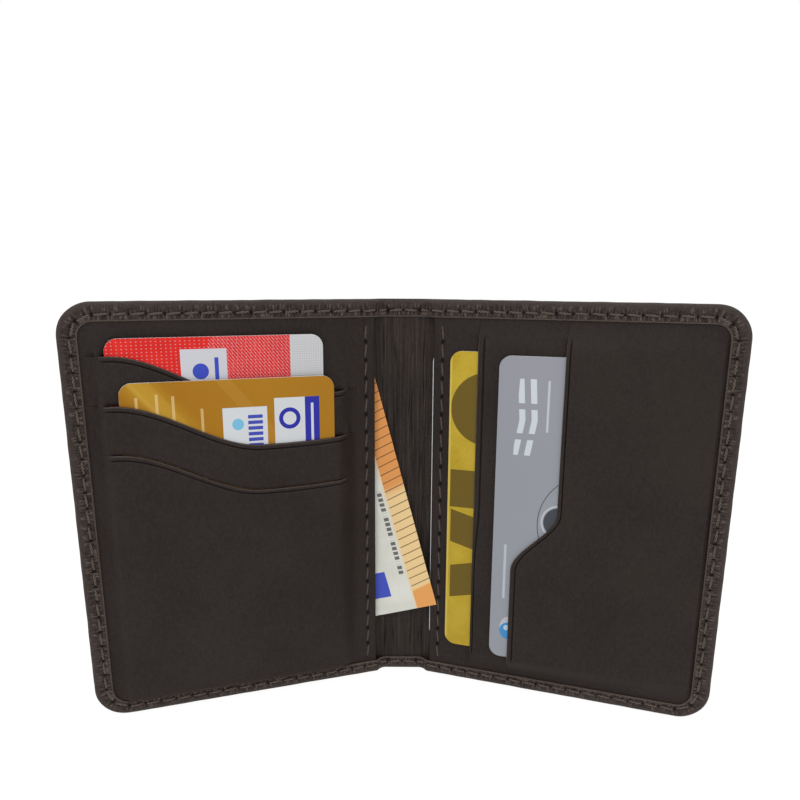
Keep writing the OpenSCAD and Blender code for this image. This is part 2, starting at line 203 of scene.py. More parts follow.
def closed(index):
    """Rows of point numbers, each joined to its own start."""
    return np.concatenate([index, index[:, :1]], axis=1)


def end_caps(index):
    """Faces over the first and the last ring of a tube."""
    return [tuple(reversed(index[0].tolist())), tuple(index[-1].tolist())]


def give(mesh, name, kind, values):
    """Gives each of a mesh's points a value that materials can read."""
    given = mesh.attributes.new(name, "FLOAT" if kind == "value" else "FLOAT_VECTOR", "POINT")
    given.data.foreach_set(kind, np.asarray(values, np.float32).ravel())


def make_piece(name, points, faces, materials, flat, wear_and_light=None, face_material=None, sharp=38, seam=None):
    """A mesh from points in millimetres, with the flat coordinates that its materials read."""
    mesh = bpy.data.meshes.new(name)
    mesh.from_pydata((np.asarray(points) * MM).tolist(), [], faces)
    give(mesh, "flat", "vector", flat)
    give(mesh, "wear_and_light", "value", np.zeros(len(points)) if wear_and_light is None else wear_and_light)
    if seam is not None:
        give(mesh, "seam", "vector", seam)
    for material in materials:
        mesh.materials.append(material)
    if face_material is not None:
        mesh.polygons.foreach_set("material_index", np.asarray(face_material, np.int32))
    mesh.validate()
    mesh.shade_smooth()
    mesh.set_sharp_from_angle(angle=math.radians(sharp))
    piece = bpy.data.objects.new(name, mesh)
    bpy.context.scene.collection.objects.link(piece)
    return piece


def face_outward(piece):
    """Turns a closed mesh's faces outward."""
    mesh = bmesh.new()
    mesh.from_mesh(piece.data)
    bmesh.ops.recalc_face_normals(mesh, faces=mesh.faces)
    mesh.to_mesh(piece.data)
    mesh.free()
    return piece


def quad(a, b, c, d):
    """A face through four points, of which some may be the same."""
    face = []
    for v in (a, b, c, d):
        if v not in face:
            face.append(int(v))
    return tuple(face) if len(face) > 2 else None


def grid_faces(index):
    """Faces between the rows of an array of point numbers."""
    found = []
    for low, high in zip(index[:-1], index[1:]):
        for j in range(len(low) - 1):
            face = quad(low[j], low[j + 1], high[j + 1], high[j])
            if face:
                found.append(face)
    return found


def open_edges(faces):
    """Directed edges that only one face has."""
    edges = {(f[i], f[(i + 1) % len(f)]) for f in faces for i in range(len(f))}
    return [e for e in edges if (e[1], e[0]) not in edges]


def thicken(front, back, faces):
    """One closed mesh from a front and a back surface that share their faces."""
    front, back = front.reshape(-1, 3), back.reshape(-1, 3)
    n = len(front)
    walls = [(b, a, a + n, b + n) for a, b in open_edges(faces)]
    turned = [tuple(v + n for v in reversed(f)) for f in faces]
    return np.concatenate([front, back]), faces + turned + walls


# ---- Materials ----
def works(operation):
    """A method that works a Value out with another number."""
    return lambda value, other: value.math(operation, other)


class Value:
    """A number in a material's nodes, worked with like any other number."""

    def __init__(self, tree, socket):
        self.tree = tree
        self.socket = socket

    def math(self, operation, *others):
        node = self.tree.nodes.new("ShaderNodeMath")
        node.operation = operation
        for socket, value in zip(node.inputs, (self, *others)):
            feed(self.tree, value, socket)
        return Value(self.tree, node.outputs[0])

    __add__ = works("ADD")
    __sub__ = works("SUBTRACT")
    __mul__ = works("MULTIPLY")
    __truediv__ = works("DIVIDE")
    __gt__ = works("GREATER_THAN")
    __lt__ = works("LESS_THAN")

    def size(self):
        return self.math("ABSOLUTE")

    def wave(self):
        return self.math("SINE")

    def near(self, middle, half):
        """1 within half of middle, else 0."""
        return (self - middle).size() < half

    def repeat(self, pitch):
        """Distance from the middle of the nearest repeat."""
        return ((self / pitch).math("FRACT") - 0.5).size() * pitch

    def ramp(self, low, high):
        """0 at low, 1 at high and soft between."""
        node = self.tree.nodes.new("ShaderNodeMapRange")
        node.interpolation_type = "SMOOTHSTEP"
        feed(self.tree, self, node.inputs["Value"])
        node.inputs["From Min"].default_value = low
        node.inputs["From Max"].default_value = high
        return Value(self.tree, node.outputs["Result"])


def feed(tree, value, socket):
    """Links a value to a socket, or writes a plain number into it."""
    if isinstance(value, Value):
        tree.links.new(value.socket, socket)
    else:
        socket.default_value = value


class Look:
    """A Principled material that is built up from flat coordinates."""

    def __init__(self, name, roughness, specular=0.5, sheen=0.0):
        self.material = bpy.data.materials.new(name)
        self.material.use_nodes = True
        self.tree = self.material.node_tree
        self.shader = self.tree.nodes["Principled BSDF"]
        self.shader.inputs["Roughness"].default_value = roughness
        self.shader.inputs["Specular IOR Level"].default_value = specular
        self.shader.inputs["Sheen Weight"].default_value = sheen
        self.flat = self.attribute("flat", "Vector")
        split = self.tree.nodes.new("ShaderNodeSeparateXYZ")
        self.tree.links.new(self.flat, split.inputs[0])
        self.x, self.y, self.z = (Value(self.tree, s) for s in split.outputs)

    def attribute(self, name, output):
        node = self.tree.nodes.new("ShaderNodeAttribute")
        node.attribute_name = name
        return node.outputs[output]

    def scaled(self, scale):
        """The flat coordinates, each times its own factor."""
        node = self.tree.nodes.new("ShaderNodeVectorMath")
        node.operation = "MULTIPLY"
        self.tree.links.new(self.flat, node.inputs[0])
        node.inputs[1].default_value = scale
        return node.outputs[0]

    def noise(self, scale, detail=3.0, roughness=0.55):
        node = self.tree.nodes.new("ShaderNodeTexNoise")
        self.tree.links.new(self.scaled(scale), node.inputs["Vector"])
        node.inputs["Scale"].default_value = 1.0
        node.inputs["Detail"].default_value = detail
        node.inputs["Roughness"].default_value = roughness
        return Value(self.tree, node.outputs["Fac"])

    def cells(self, scale):
        """Distance to the nearest edge between cells."""
        node = self.tree.nodes.new("ShaderNodeTexVoronoi")
        node.feature = "DISTANCE_TO_EDGE"
        self.tree.links.new(self.scaled(scale), node.inputs["Vector"])
        node.inputs["Scale"].default_value = 1.0
        return Value(self.tree, node.outputs["Distance"])

    def box(self, x0, x1, y0, y1):
        """1 inside a rectangle, else 0."""
        return self.x.near((x0 + x1) / 2, (x1 - x0) / 2) * self.y.near((y0 + y1) / 2, (y1 - y0) / 2)

    def disc(self, x, y, r):
        far = (self.x - x).math("POWER", 2.0) + (self.y - y).math("POWER", 2.0)
        return far < r * r

    def ring(self, x, y, r, line):
        return self.disc(x, y, r + line / 2) - self.disc(x, y, r - line / 2)

    def mix(self, share, under, over):
        """A colour between two, each a colour or a colour socket."""
        node = self.tree.nodes.new("ShaderNodeMix")
        node.data_type = "RGBA"
        feed(self.tree, share, node.inputs["Factor"])
        for colour, socket in ((under, node.inputs["A"]), (over, node.inputs["B"])):
            if isinstance(colour, tuple):
                socket.default_value = (*colour, 1.0)
            else:
                self.tree.links.new(colour, socket)
        return node.outputs["Result"]

    def paint(self, base, layers):
        """A base colour with (mask, colour) layers on it."""
        for mask, colour in layers:
            base = self.mix(mask, base, colour)
        return base

    def finish(self, colour, height=None, depth=0.05, roughness=None):
        """Sets the colour, the roughness and a bump of that depth in millimetres."""
        if isinstance(colour, tuple):
            self.shader.inputs["Base Color"].default_value = (*colour, 1.0)
        else:
            self.tree.links.new(colour, self.shader.inputs["Base Color"])
        if roughness is not None:
            feed(self.tree, roughness, self.shader.inputs["Roughness"])
        if height is not None:
            bump = self.tree.nodes.new("ShaderNodeBump")
            bump.inputs["Strength"].default_value = 1.0
            bump.inputs["Distance"].default_value = depth * MM
            feed(self.tree, height, bump.inputs["Height"])
            self.tree.links.new(bump.outputs[0], self.shader.inputs["Normal"])
        return self.material


def leather(name, dark, light, pale_and_highlight_colour, grain=1.0, sewn=False, streaked=False):
    """Matte leather: cloudy tone, fine pores and creases, paler where it is rubbed and with painted
    highlights, both read from a point attribute.

    Below zero that attribute paints shade: a dark line in a crease.
    """
    look = Look(name, 0.6, specular=0.15)
    clouds = look.noise((0.045, 0.045, 0.045), detail=4.0)
    grains = look.noise((1.25, 1.0, 1.25), detail=5.0, roughness=0.7)
    threads = look.noise((3.2, 0.35, 3.2), detail=3.0)
    pores = look.cells((1.7, 1.5, 1.7))
    wear_and_light = Value(look.tree, look.attribute("wear_and_light", "Fac"))
    tone = clouds * 0.6 + grains * 0.9 + threads * 0.35 - 0.42
    colour = look.mix(tone.ramp(0.25, 0.75), dark, light)
    if streaked:
        streaks = look.noise((2.1, 0.034, 0.2), detail=5.0, roughness=0.62)
        colour = look.mix(streaks.ramp(0.47, 0.70) * 0.45, colour, pale_and_highlight_colour)
        colour = look.mix(streaks.ramp(0.47, 0.34) * 0.6, colour, tuple(c * 0.3 for c in dark))
    # Paler where the point attribute is above zero: rubbed edges, and painted highlights on the pocket lips.
    colour = look.mix((wear_and_light * (grains + 0.35)).ramp(0.05, 0.95), colour, pale_and_highlight_colour)
    # Painted shade: darker where the attribute is below zero, along creases.
    colour = look.mix((wear_and_light * -1.0).ramp(0.0, 1.0), colour, tuple(c * 0.25 for c in dark))
    height = grains * 0.8 + threads * 0.4 + pores.ramp(0.0, 0.16) * 0.5
    rough = clouds * 0.12 + grains * 0.16 + 0.42
    if sewn:
        wrinkles, puckers, inside = seam_wrinkles(look)
        # Painted highlight on the hem's wrinkle ridges and painted shade in its puckers and grooves.
        colour = look.mix(wrinkles * inside * 0.85, colour, pale_and_highlight_colour)
        colour = look.mix(puckers * inside * 0.85, colour, tuple(c * 0.3 for c in dark))
        height = height + (wrinkles * 3.6 - puckers * 3.2) * inside
    return look.finish(colour, height, 0.055 * grain, rough)


def seam_wrinkles(look):
    """Fine creases across a hem that its stitches draw together, as bump and painted light: ridges (painted
    highlight), puckers and grooves (painted shade), share.
    """
    split = look.tree.nodes.new("ShaderNodeSeparateXYZ")
    look.tree.links.new(look.attribute("seam", "Vector"), split.inputs[0])
    count, inset, sewn = (Value(look.tree, s) for s in split.outputs)

    def crease_noise(along, across):
        noise = look.tree.nodes.new("ShaderNodeTexNoise")
        spot = look.tree.nodes.new("ShaderNodeCombineXYZ")
        feed(look.tree, count * along, spot.inputs[0])
        feed(look.tree, inset * across, spot.inputs[1])
        look.tree.links.new(spot.outputs[0], noise.inputs["Vector"])
        noise.inputs["Scale"].default_value = 1.0
        noise.inputs["Detail"].default_value = 4.0
        return Value(look.tree, noise.outputs["Fac"])

    folds = crease_noise(7.0, 0.42)
    patches = crease_noise(1.3, 0.5)
    bent = count + (patches - 0.5) * 0.22
    to_needle = ((bent + 0.5).math("FRACT") - 0.5).size()
    from_line = (inset - STITCH_E).size()
    inside = inset.ramp(0.6, 1.8) * inset.ramp(4.75, 4.2) * sewn
    pucker = to_needle.ramp(0.05, 0.0) * from_line.ramp(1.6, 0.2) * patches.ramp(0.35, 0.6)
    ridge = to_needle.ramp(0.17, 0.07) * to_needle.ramp(0.03, 0.08) * patches.ramp(0.4, 0.6)
    groove = from_line.ramp(0.6, 0.0) * 0.4
    dark_folds = folds.ramp(0.48, 0.36) * from_line.ramp(2.8, 0.8)
    light_folds = folds.ramp(0.51, 0.62) * patches.ramp(0.2, 0.5)
    # Painted highlight on ridges and fold crests, painted shade in puckers, the groove and fold lines; both
    # also set the bump.
    return ridge * 0.45 + light_folds * 0.8, pucker * 0.7 + groove + dark_folds * 0.7, inside


def raw_leather(name, dark, light):
    """The cut edge of leather, with fibres showing."""
    look = Look(name, 0.8, specular=0.2)
    fibres = look.noise((1.2, 1.2, 6.0), detail=4.0)
    return look.finish(look.mix(fibres.ramp(0.3, 0.7), dark, light), fibres, 0.08)


def thread_look():
    look = Look("thread", 0.62, specular=0.3, sheen=0.25)
    ply = (look.x * 7.5 + look.y * 3.0).wave() * 0.5 + 0.5
    colour = look.mix(ply.ramp(0.1, 0.9), (0.026, 0.016, 0.011), (0.112, 0.074, 0.054))
    return look.finish(colour, ply, 0.09)


# Painted shade: a near-black dish that stands in for the shadow inside a needle hole.
def needle_hole_shade_look():
    look = Look("needle hole", 0.9, specular=0.1)
    fibres = look.noise((4.0, 4.0, 4.0))
    return look.finish(look.mix(fibres, (0.004, 0.003, 0.002), (0.012, 0.008, 0.006)), fibres, 0.03)


def textile_look():
    """Thin dark plain-weave lining cloth."""
    look = Look("textile", 0.75, specular=0.2, sheen=0.3)
    warp = (look.x * 13.0).wave()
    weft = (look.y * 13.0).wave()
    weave = warp * weft * 0.5 + 0.5
    colour = look.mix(weave.ramp(0.2, 0.8), (0.010, 0.009, 0.009), (0.030, 0.026, 0.025))
    return look.finish(colour, weave, 0.06)


class CardLook(Look):
    """A printed plastic card with a pale core along its edge."""

    def __init__(self, name, roughness=0.34):
        super().__init__(name, roughness, specular=0.14)
        self.roughness = roughness
        self.ink = self.noise((1.6, 1.6, 1.6), detail=2.0)

    def printed(self, base, layers):
        """The finished material: (mask, colour) layers over a base colour."""
        face = self.paint(base, layers)
        edge = self.z.near(CARD_T / 2, CARD_T / 2 - 0.045)
        face = self.mix(edge, face, (0.62, 0.62, 0.60))
        return self.finish(face, self.ink, 0.008, self.ink * 0.08 + self.roughness - 0.04)


def red_card_look():
    """Red with white dots and hatching, a pale end and a plain white patch with blue marks."""
    look = CardLook("red print")
    cloud = look.noise((0.2, 0.2, 0.2))
    base = look.mix(cloud.ramp(0.35, 0.7), (0.56, 0.014, 0.010), (0.62, 0.020, 0.014))
    white, blue = (0.50, 0.50, 0.54), (0.035, 0.060, 0.40)
    slant = look.x - look.y * 0.55
    dots = (look.x.repeat(1.15) < 0.16) * (look.y.repeat(0.86) < 0.12)
    hatch = (look.x + look.y * 0.75).repeat(0.80) < 0.11
    hatched = slant > -21.5
    bumps = (look.x.repeat(0.62) < 0.13) * (look.y.repeat(0.62) < 0.13)
    end = look.x > 45.2
    patch = look.box(17.6, 29.0, 66.0, 82.6)
    return look.printed(base, [
        (dots * 0.42, white),
        (hatched * hatch * 0.36, white),
        (end, (0.46, 0.46, 0.47)),
        (end * bumps * 0.8, (0.60, 0.61, 0.64)),
        (patch, white),
        (look.disc(22.4, 77.0, 2.0), blue),
        (look.box(25.9, 26.9, 68.0, 80.4), blue),
    ])


def gold_card_look():
    """Gold with pale diagonal lights and two plain white patches with blue marks."""
    look = CardLook("gold print")
    sweep = (look.x * 0.030 + look.y * 0.012 - 0.85).ramp(0.0, 1.2)
    cloud = look.noise((0.06, 0.06, 0.06))
    base = look.mix(sweep * 0.6 + cloud * 0.35, (0.275, 0.112, 0.002), (0.36, 0.165, 0.008))
    white, blue, navy = (0.54, 0.56, 0.58), (0.045, 0.060, 0.36), (0.020, 0.024, 0.30)
    lights = [
        ((look.x + look.y * 0.82 - CARD_L * 0.82 - at).near(0, wide) * share, (0.52, 0.31, 0.07))
        for at, wide, share in ((2.2, 0.8, 0.28), (4.6, 2.6, 0.16), (25.0, 2.0, 0.13))
    ]
    sun = (look.x + look.y * 0.82 - CARD_L * 0.82 - 4.0).size().ramp(7.5, 0.0)
    weave = (look.x.repeat(0.55) < 0.08) + (look.y.repeat(0.55) < 0.08)
    bars = [
        (look.box(x, x + 0.7, 60.0, high) * 0.45, (0.72, 0.56, 0.27))
        for x, high in ((3.6, 82.0), (8.4, 82.6), (12.3, 82.0), (19.2, 78.5))
    ]
    return look.printed(base, [
        (weave * 0.06, (0.25, 0.12, 0.02)),
        *lights,
        (sun * 0.35, (0.55, 0.36, 0.03)),
        *bars,
        (look.box(24.6, 36.0, 64.0, 78.3), white),
        (look.disc(28.4, 73.9, 1.5), (0.16, 0.42, 0.60)),
        (look.box(31.0, 34.8, 64.0, 76.4) * (look.y.repeat(1.5) < 0.46), blue),
        (look.box(37.9, 49.9, 64.0, 80.3), white),
        (look.box(46.0, 49.9, 64.0, 80.3), navy),
        (look.box(47.6, 48.3, 64.0, 78.6), white),
        (look.ring(41.9, 74.8, 2.3, 1.1), navy),
    ])


def yellow_card_look():
    """Mustard yellow with large plain olive shapes and faint ticks."""
    look = CardLook("yellow print")
    cloud = look.noise((0.10, 0.10, 0.10))
    base = look.mix(cloud.ramp(0.3, 0.7), (0.39, 0.262, 0.016), (0.46, 0.325, 0.030))
    olive = (0.125, 0.082, 0.010)
    ticks = look.noise((1.1, 2.6, 1.0), detail=1.0).ramp(0.60, 0.66) * (look.x.repeat(3.7) < 1.1)
    wedge = (look.x * 0.28 + look.y).near(37.0, 4.8) * (look.x > 1.0)
    foot = (look.x * -0.22 + look.y).near(19.5, 4.9) * (look.x > 1.2)
    return look.printed(base, [
        (ticks * 0.30, (0.26, 0.17, 0.02)),
        (look.disc(10.4, 70.2, 9.9), olive),
        (look.box(0.7, 60.0, 42.2, 53.0), olive),
        (wedge, olive),
        (foot, olive),
        (look.x < 0.55, (0.54, 0.40, 0.07)),
    ])


def grey_card_look():
    """Pearly silver with plain pale bars, a thin dark arc and a small blue ball."""
    look = CardLook("grey print", roughness=0.30)
    sweep = (look.y * 0.012 + look.x * 0.006).ramp(0.0, 1.15)
    base = look.mix(sweep, (0.255, 0.272, 0.300), (0.255, 0.258, 0.292))
    pale, dark = (0.50, 0.54, 0.58), (0.050, 0.055, 0.065)
    arc = look.ring(26.5, 41.0, 14.6, 0.22) * (look.x < 18.5)
    bar = (look.x - look.y * 0.05).near(4.5, 2.9)
    gap = (look.x - look.y * 0.05 + (look.y - 69.0).size() * 0.12).repeat(3.2) > 0.8
    bars = [(bar * look.y.near(at, half) * gap, pale) for at, half in ((76.6, 3.2), (68.6, 3.2), (61.6, 2.1))]
    return look.printed(base, [
        *bars,
        (look.box(12.9, 13.5, 66.0, 79.5) * 0.7, pale),
        (arc, dark),
        (look.disc(17.6, 41.6, 4.1), dark),
        (look.ring(17.6, 41.6, 4.6, 0.5) * 0.6, pale),
        (look.box(3.2, 3.9, 18.0, 34.0) * 0.6, pale),
        (look.disc(6.2, 9.4, 3.4), (0.42, 0.43, 0.45)),
        (look.disc(5.4, 8.2, 2.6), (0.045, 0.23, 0.50)),
        (look.disc(4.7, 9.1, 0.8), (0.40, 0.52, 0.62)),
    ])


def white_card_look():
    look = CardLook("white print")
    cloud = look.noise((0.08, 0.08, 0.08))
    base = look.mix(cloud, (0.60, 0.60, 0.61), (0.66, 0.66, 0.67))
    return look.printed(base, [(look.box(4.0, 14.0, 40.0, 52.0) * 0.25, (0.55, 0.57, 0.60))])


NOTE_W = 70.0
NOTE_H = 77.0


def paper_look():
    """Cotton paper: x is the distance from the note's right edge and y the height along it."""
    look = Look("note print", 0.72, specular=0.2)
    fibres = look.noise((0.9, 0.9, 0.9), detail=5.0)
    warm = look.noise((0.05, 0.16, 1.0), detail=2.0)
    edge_x = 5.9
    in_band = look.x < edge_x
    tilt = look.y + look.x * 0.25
    band = look.mix((tilt + warm * 3.0).ramp(37.0, 41.5), (0.70, 0.50, 0.245), (0.62, 0.26, 0.075))
    band = look.mix(tilt.ramp(7.4, 6.8), band, (0.66, 0.30, 0.090))
    white = look.mix(warm.ramp(0.3, 0.7), (0.56, 0.56, 0.50), (0.62, 0.62, 0.57))
    lines = (tilt.repeat(2.45) < 0.15) * (tilt > 6.5)
    paper = look.mix(look.x.ramp(edge_x + 1.0, edge_x), white, (0.66, 0.54, 0.36))
    paper = look.mix(in_band, paper, band)
    guilloche = (look.x * 2.1 + (look.y * 0.9).wave() * 1.2).wave().ramp(0.6, 1.0)
    marks = look.box(7.0, 8.4, 11.0, 37.5) * (look.y.repeat(1.5) > 0.24) * (look.y.repeat(7.5) < 3.3)
    colour = look.paint(paper, [
        (in_band * lines * 0.8, (0.085, 0.045, 0.022)),
        ((look.x > 9.0) * guilloche * 0.08, (0.60, 0.45, 0.30)),
        (marks * 0.85, (0.045, 0.042, 0.045)),
        (look.box(12.5, 25.0, 5.2, 13.1), (0.050, 0.075, 0.42)),
    ])
    return look.finish(colour, fibres, 0.03)


LEATHER = leather(
    "outer leather", (0.0185, 0.0125, 0.0102), (0.0345, 0.0246, 0.0206), (0.112, 0.085, 0.071), sewn=True
)
POCKET = leather(
    "pocket leather", (0.0140, 0.0094, 0.0077), (0.0240, 0.0172, 0.0146), (0.080, 0.062, 0.054), 0.75
)
LINING = leather(
    "lining leather", (0.0135, 0.0088, 0.0072), (0.0250, 0.0178, 0.0150), (0.070, 0.054, 0.046), 0.9,
    streaked=True,
)
RAW = raw_leather("cut edge", (0.020, 0.013, 0.010), (0.052, 0.036, 0.028))
THREAD = thread_look()
HOLE_SHADE = needle_hole_shade_look()
TEXTILE = textile_look()


# ---- Outer leather: cover, rolled edge and hem in one sheet, cut at the middle of the spine ----
STRAIGHT_C = FOLD_X + LEAF_W - CORNER_R
SIDE_Z = WALLET_H - 2 * CORNER_R
HEM_STITCHES = 19
SIDE_STITCHES = 22
STITCH_PITCH = STRAIGHT_C / HEM_STITCHES
COLUMNS_A_STITCH = 8

# The section of the edge, from the outer face round to the inner face: inset from the edge, level
OUTER_RINGS = [(7.0, 0), (5.5, 0), (4.2, 0), (3.6, 0), (3.25, 0), (3.0, 0), (2.75, 0), (2.4, 0), (1.8, 0)]
ROLL_RINGS = [
    (1.2, 0.0), (0.8, 0.07), (0.45, 0.27), (0.18, 0.6), (0.04, 1.0), (0.0, 1.5), (0.0, 2.3), (0.0, 3.1),
    (0.05, 3.65), (0.2, 4.05), (0.5, 4.4), (0.9, 4.56),
]
HEM_RINGS = [
    (1.3, 4.6), (1.7, 4.6), (2.1, 4.6), (2.45, 4.6), (2.75, 4.6), (3.0, 4.6), (3.25, 4.6), (3.55, 4.6),
    (3.9, 4.6), (4.25, 4.59), (4.5, 4.52), (4.65, 4.38), (4.7, 4.18),
]
INNER_RINGS = [
    (4.7, 3.95), (4.55, 3.9), (3.0, 3.9), (1.7, 3.9), (1.3, 3.7), (1.2, 3.2), (1.2, 1.7), (1.35, 1.3),
    (1.8, 1.2), (4.0, 1.2), (6.5, 1.2),
]
EDGE_RINGS = {"outside": OUTER_RINGS, "roll": ROLL_RINGS, "hem": HEM_RINGS, "inside": INNER_RINGS}


HEM_CLIMB_C = 5.0
HEM_CLIMB = 4.0


def hem_base(c):
    """Level of the hem's underside: low on the spine, above the pocket panel on a half."""
    return SPINE_TOP + (HEM - SPINE_TOP) * smooth((c - HEM_CLIMB_C) / HEM_CLIMB)


def hem_level(w, c):
    """A level of the edge's section, lowered where the stack under the hem is thinner."""
    base = hem_base(c)
    squeezed = COVER_T + (w - COVER_T) * (base - COVER_T) / (HEM - COVER_T)
    return np.where(w <= COVER_T, w, np.where(w <= HEM, squeezed, base + w - HEM))


def hem_inset(e, bottom):
    """An inset of the hem's section, narrower along the bottom edge (bottom is 1 there)."""
    share = 1.0 - bottom * (HEM_W - HEM_BOTTOM_W) / (HEM_W - COVER_T)
    return np.where(e > COVER_T, COVER_T + (e - COVER_T) * share, e)


class Outline:
    """The three free sides of a half: place, outward direction, stitch count and bottom share."""

    def __init__(self):
        self.columns = np.linspace(0.0, STRAIGHT_C, HEM_STITCHES * COLUMNS_A_STITCH + 1)
        self.rows = np.linspace(CORNER_R, WALLET_H - CORNER_R, SIDE_STITCHES * COLUMNS_A_STITCH + 1)
        arc = np.radians(np.linspace(0, 90, 29))[1:-1]
        nx, ny, na = len(self.columns), len(self.rows), len(arc)
        low, high = CORNER_R, WALLET_H - CORNER_R
        turn = arc / math.radians(45)
        zero, one = np.zeros, np.ones
        stretches = [
            # c, z, outward c, outward z, stitches so far, bottom share, grid row, grid column
            (self.columns, zero(nx), zero(nx), -one(nx), self.columns / STITCH_PITCH, one(nx),
             zero(nx), np.arange(nx)),
            (STRAIGHT_C + CORNER_R * np.sin(arc), low - CORNER_R * np.cos(arc), np.sin(arc), -np.cos(arc),
             turn, 1 - smooth(arc / math.radians(90)), zero(na), one(na) * (nx - 1)),
            (one(ny) * (STRAIGHT_C + CORNER_R), self.rows, one(ny), zero(ny),
             (self.rows - low) / SIDE_Z * SIDE_STITCHES, zero(ny), np.arange(ny), one(ny) * (nx - 1)),
            (STRAIGHT_C + CORNER_R * np.cos(arc), high + CORNER_R * np.sin(arc), np.cos(arc), np.sin(arc),
             turn, zero(na), one(na) * (ny - 1), one(na) * (nx - 1)),
            (self.columns[::-1], one(nx) * WALLET_H, zero(nx), one(nx), self.columns[::-1] / STITCH_PITCH,
             zero(nx), one(nx) * (ny - 1), np.arange(nx)[::-1]),
        ]
        joined = [np.concatenate([s[k] for s in stretches]) for k in range(8)]
        self.c, self.z, self.out_c, self.out_z, self.count, self.bottom = joined[:6]
        self.grid_row, self.grid_column = (a.astype(int) for a in joined[6:])
        step = np.hypot(np.diff(self.c), np.diff(self.z))
        self.along = np.concatenate([[0.0], np.cumsum(step)])
        self.corner = np.abs(self.out_c * self.out_z) * 2


def pull(off, count):
    """How far a stitch pulls the leather in, off the stitch line and along it."""
    gap = np.abs(count - np.round(count))
    groove = 0.13 * bell(off / 0.5)
    needle = 0.24 * bell(gap / 0.12) * bell(off / 0.75)
    crease = 0.10 * bell(gap / 0.085) * bell(off / 1.9)
    return groove + needle + crease


def back_relief(c, z):
    """Low swells of the outer face: the cards behind it and the slack near the fold."""
    u = c - FOLD_X
    cards = smooth((u - 8) / 8) * smooth((74 - u) / 7) * smooth((z - 6) / 8) * smooth((104 - z) / 9)
    slack = bell((c - 7.0) / 2.2)
    ripple = 0.07 * slack * np.sin(c * 4.1 + 0.4 * np.sin(z / 9.0))
    swell = 0.05 * (wander(c, 31.0, 5) + wander(z, 37.0, 6))
    inner = smooth(np.minimum(z - 1.5, WALLET_H - 1.5 - z) / 8)
    return -0.28 * cards * (1 + 0.3 * swell) + (ripple + swell * 0.6) * inner


def outer_leather(side, half):
    line = Outline()
    nx, ny = len(line.columns), len(line.rows)
    n = len(line.c)
    parts, flats, wear_and_light_values, seams = [], [], [], []

    def add(c, w, z, flat_w, wear_and_light, seam):
        seams.append(np.broadcast_to(np.stack(np.broadcast_arrays(*seam), axis=-1), (len(c), 3)))
        parts.append(place(side, c, w, z))
        flats.append(np.stack([side * c + 200, z, flat_w * np.ones_like(c)], axis=-1))
        wear_and_light_values.append(wear_and_light * np.ones_like(c))

    grid_c, grid_z = (a.ravel() for a in np.meshgrid(line.columns, line.rows))
    add(grid_c, back_relief(grid_c, grid_z), grid_z, 0.0, 0.06, (0.0, 8.0, 0.0))
    outer_grid = np.arange(nx * ny).reshape(ny, nx)
    edge_of_grid = outer_grid[line.grid_row, line.grid_column]

    wrinkle = wander(line.along, 1.9, 3) * 0.035 + wander(line.along, 5.3, 4) * 0.03
    gather = 0.10 * line.corner * np.cos(line.count * math.pi * 4)
    wobble = 0.03 * (wander(line.along, 17.0, 7 + side) + 1.2) * smooth((line.c - 3) / 8)
    index = [edge_of_grid]
    total = nx * ny
    for part, rings in EDGE_RINGS.items():
        for e, w in rings:
            inset = hem_inset(np.full(n, e), line.bottom)
            off = e - STITCH_E
            waver = wobble * smooth((5.5 - e) / 3)
            c = line.c - (inset + waver) * line.out_c
            z = line.z - (inset + waver) * line.out_z
            level = hem_level(np.full(n, float(w)), c)
            wear_and_light = 0.10 + 0.25 * bell((e - 0.5) / 0.7) * (part != "outside")
            if part == "outside":
                level = level + back_relief(c, z) + pull(off, line.count) * 0.8
            if part == "hem":
                level = level - pull(off, line.count) + wrinkle * bell(off / 1.5)
                level = level - gather * bell((e - 3.2) / 1.2)
                wear_and_light = wear_and_light + 0.9 * bell((e - 4.6) / 0.16) + 0.12
            add(c, level, z, w + e * 0.5, wear_and_light, (line.count, e, float(part != "inside")))
            index.append(np.arange(total, total + n))
            total += n
    add(grid_c, np.full(nx * ny, COVER_T), grid_z, COVER_T, 0.0, (0.0, 8.0, 0.0))
    inner_grid = np.arange(total, total + nx * ny).reshape(ny, nx)
    index.append(inner_grid[line.grid_row, line.grid_column])

    faces = [f[::-1] for f in grid_faces(outer_grid)] + grid_faces(inner_grid)
    faces += grid_faces(np.stack(index))
    faces.append(closing_face(faces))
    piece = make_piece(
        f"{half}_outer_leather", np.concatenate(parts), faces, [LEATHER], np.concatenate(flats),
        np.concatenate(wear_and_light_values), seam=np.concatenate(seams),
    )
    face_outward(piece)
    blend_to_spine(piece, side)
    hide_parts(f"{half}_cover", f"{half}_fold", "spine_cover")


def closing_face(faces):
    """One face over the mesh's only opening."""
    follow = {b: a for a, b in open_edges(faces)}
    start = next(iter(follow))
    loop = [start]
    while follow[loop[-1]] != start:
        loop.append(follow[loop[-1]])
    return tuple(int(v) for v in loop)


def blend_to_spine(piece, side):
    """Bakes the piece's transform into its mesh; the bend's ends at the fold are worked out but not used."""
    start = spot(place, side, BEND_START, AXIS) * MM
    end = spot(place, side, BEND_END, AXIS) * MM
    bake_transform(piece)


# ---- Lining leather over the spine and behind the note compartments ----
SPINE_CREASES = (0.5, 1.7, 2.6, 3.9, 4.7, 5.6, 6.5, 7.6, 8.7)


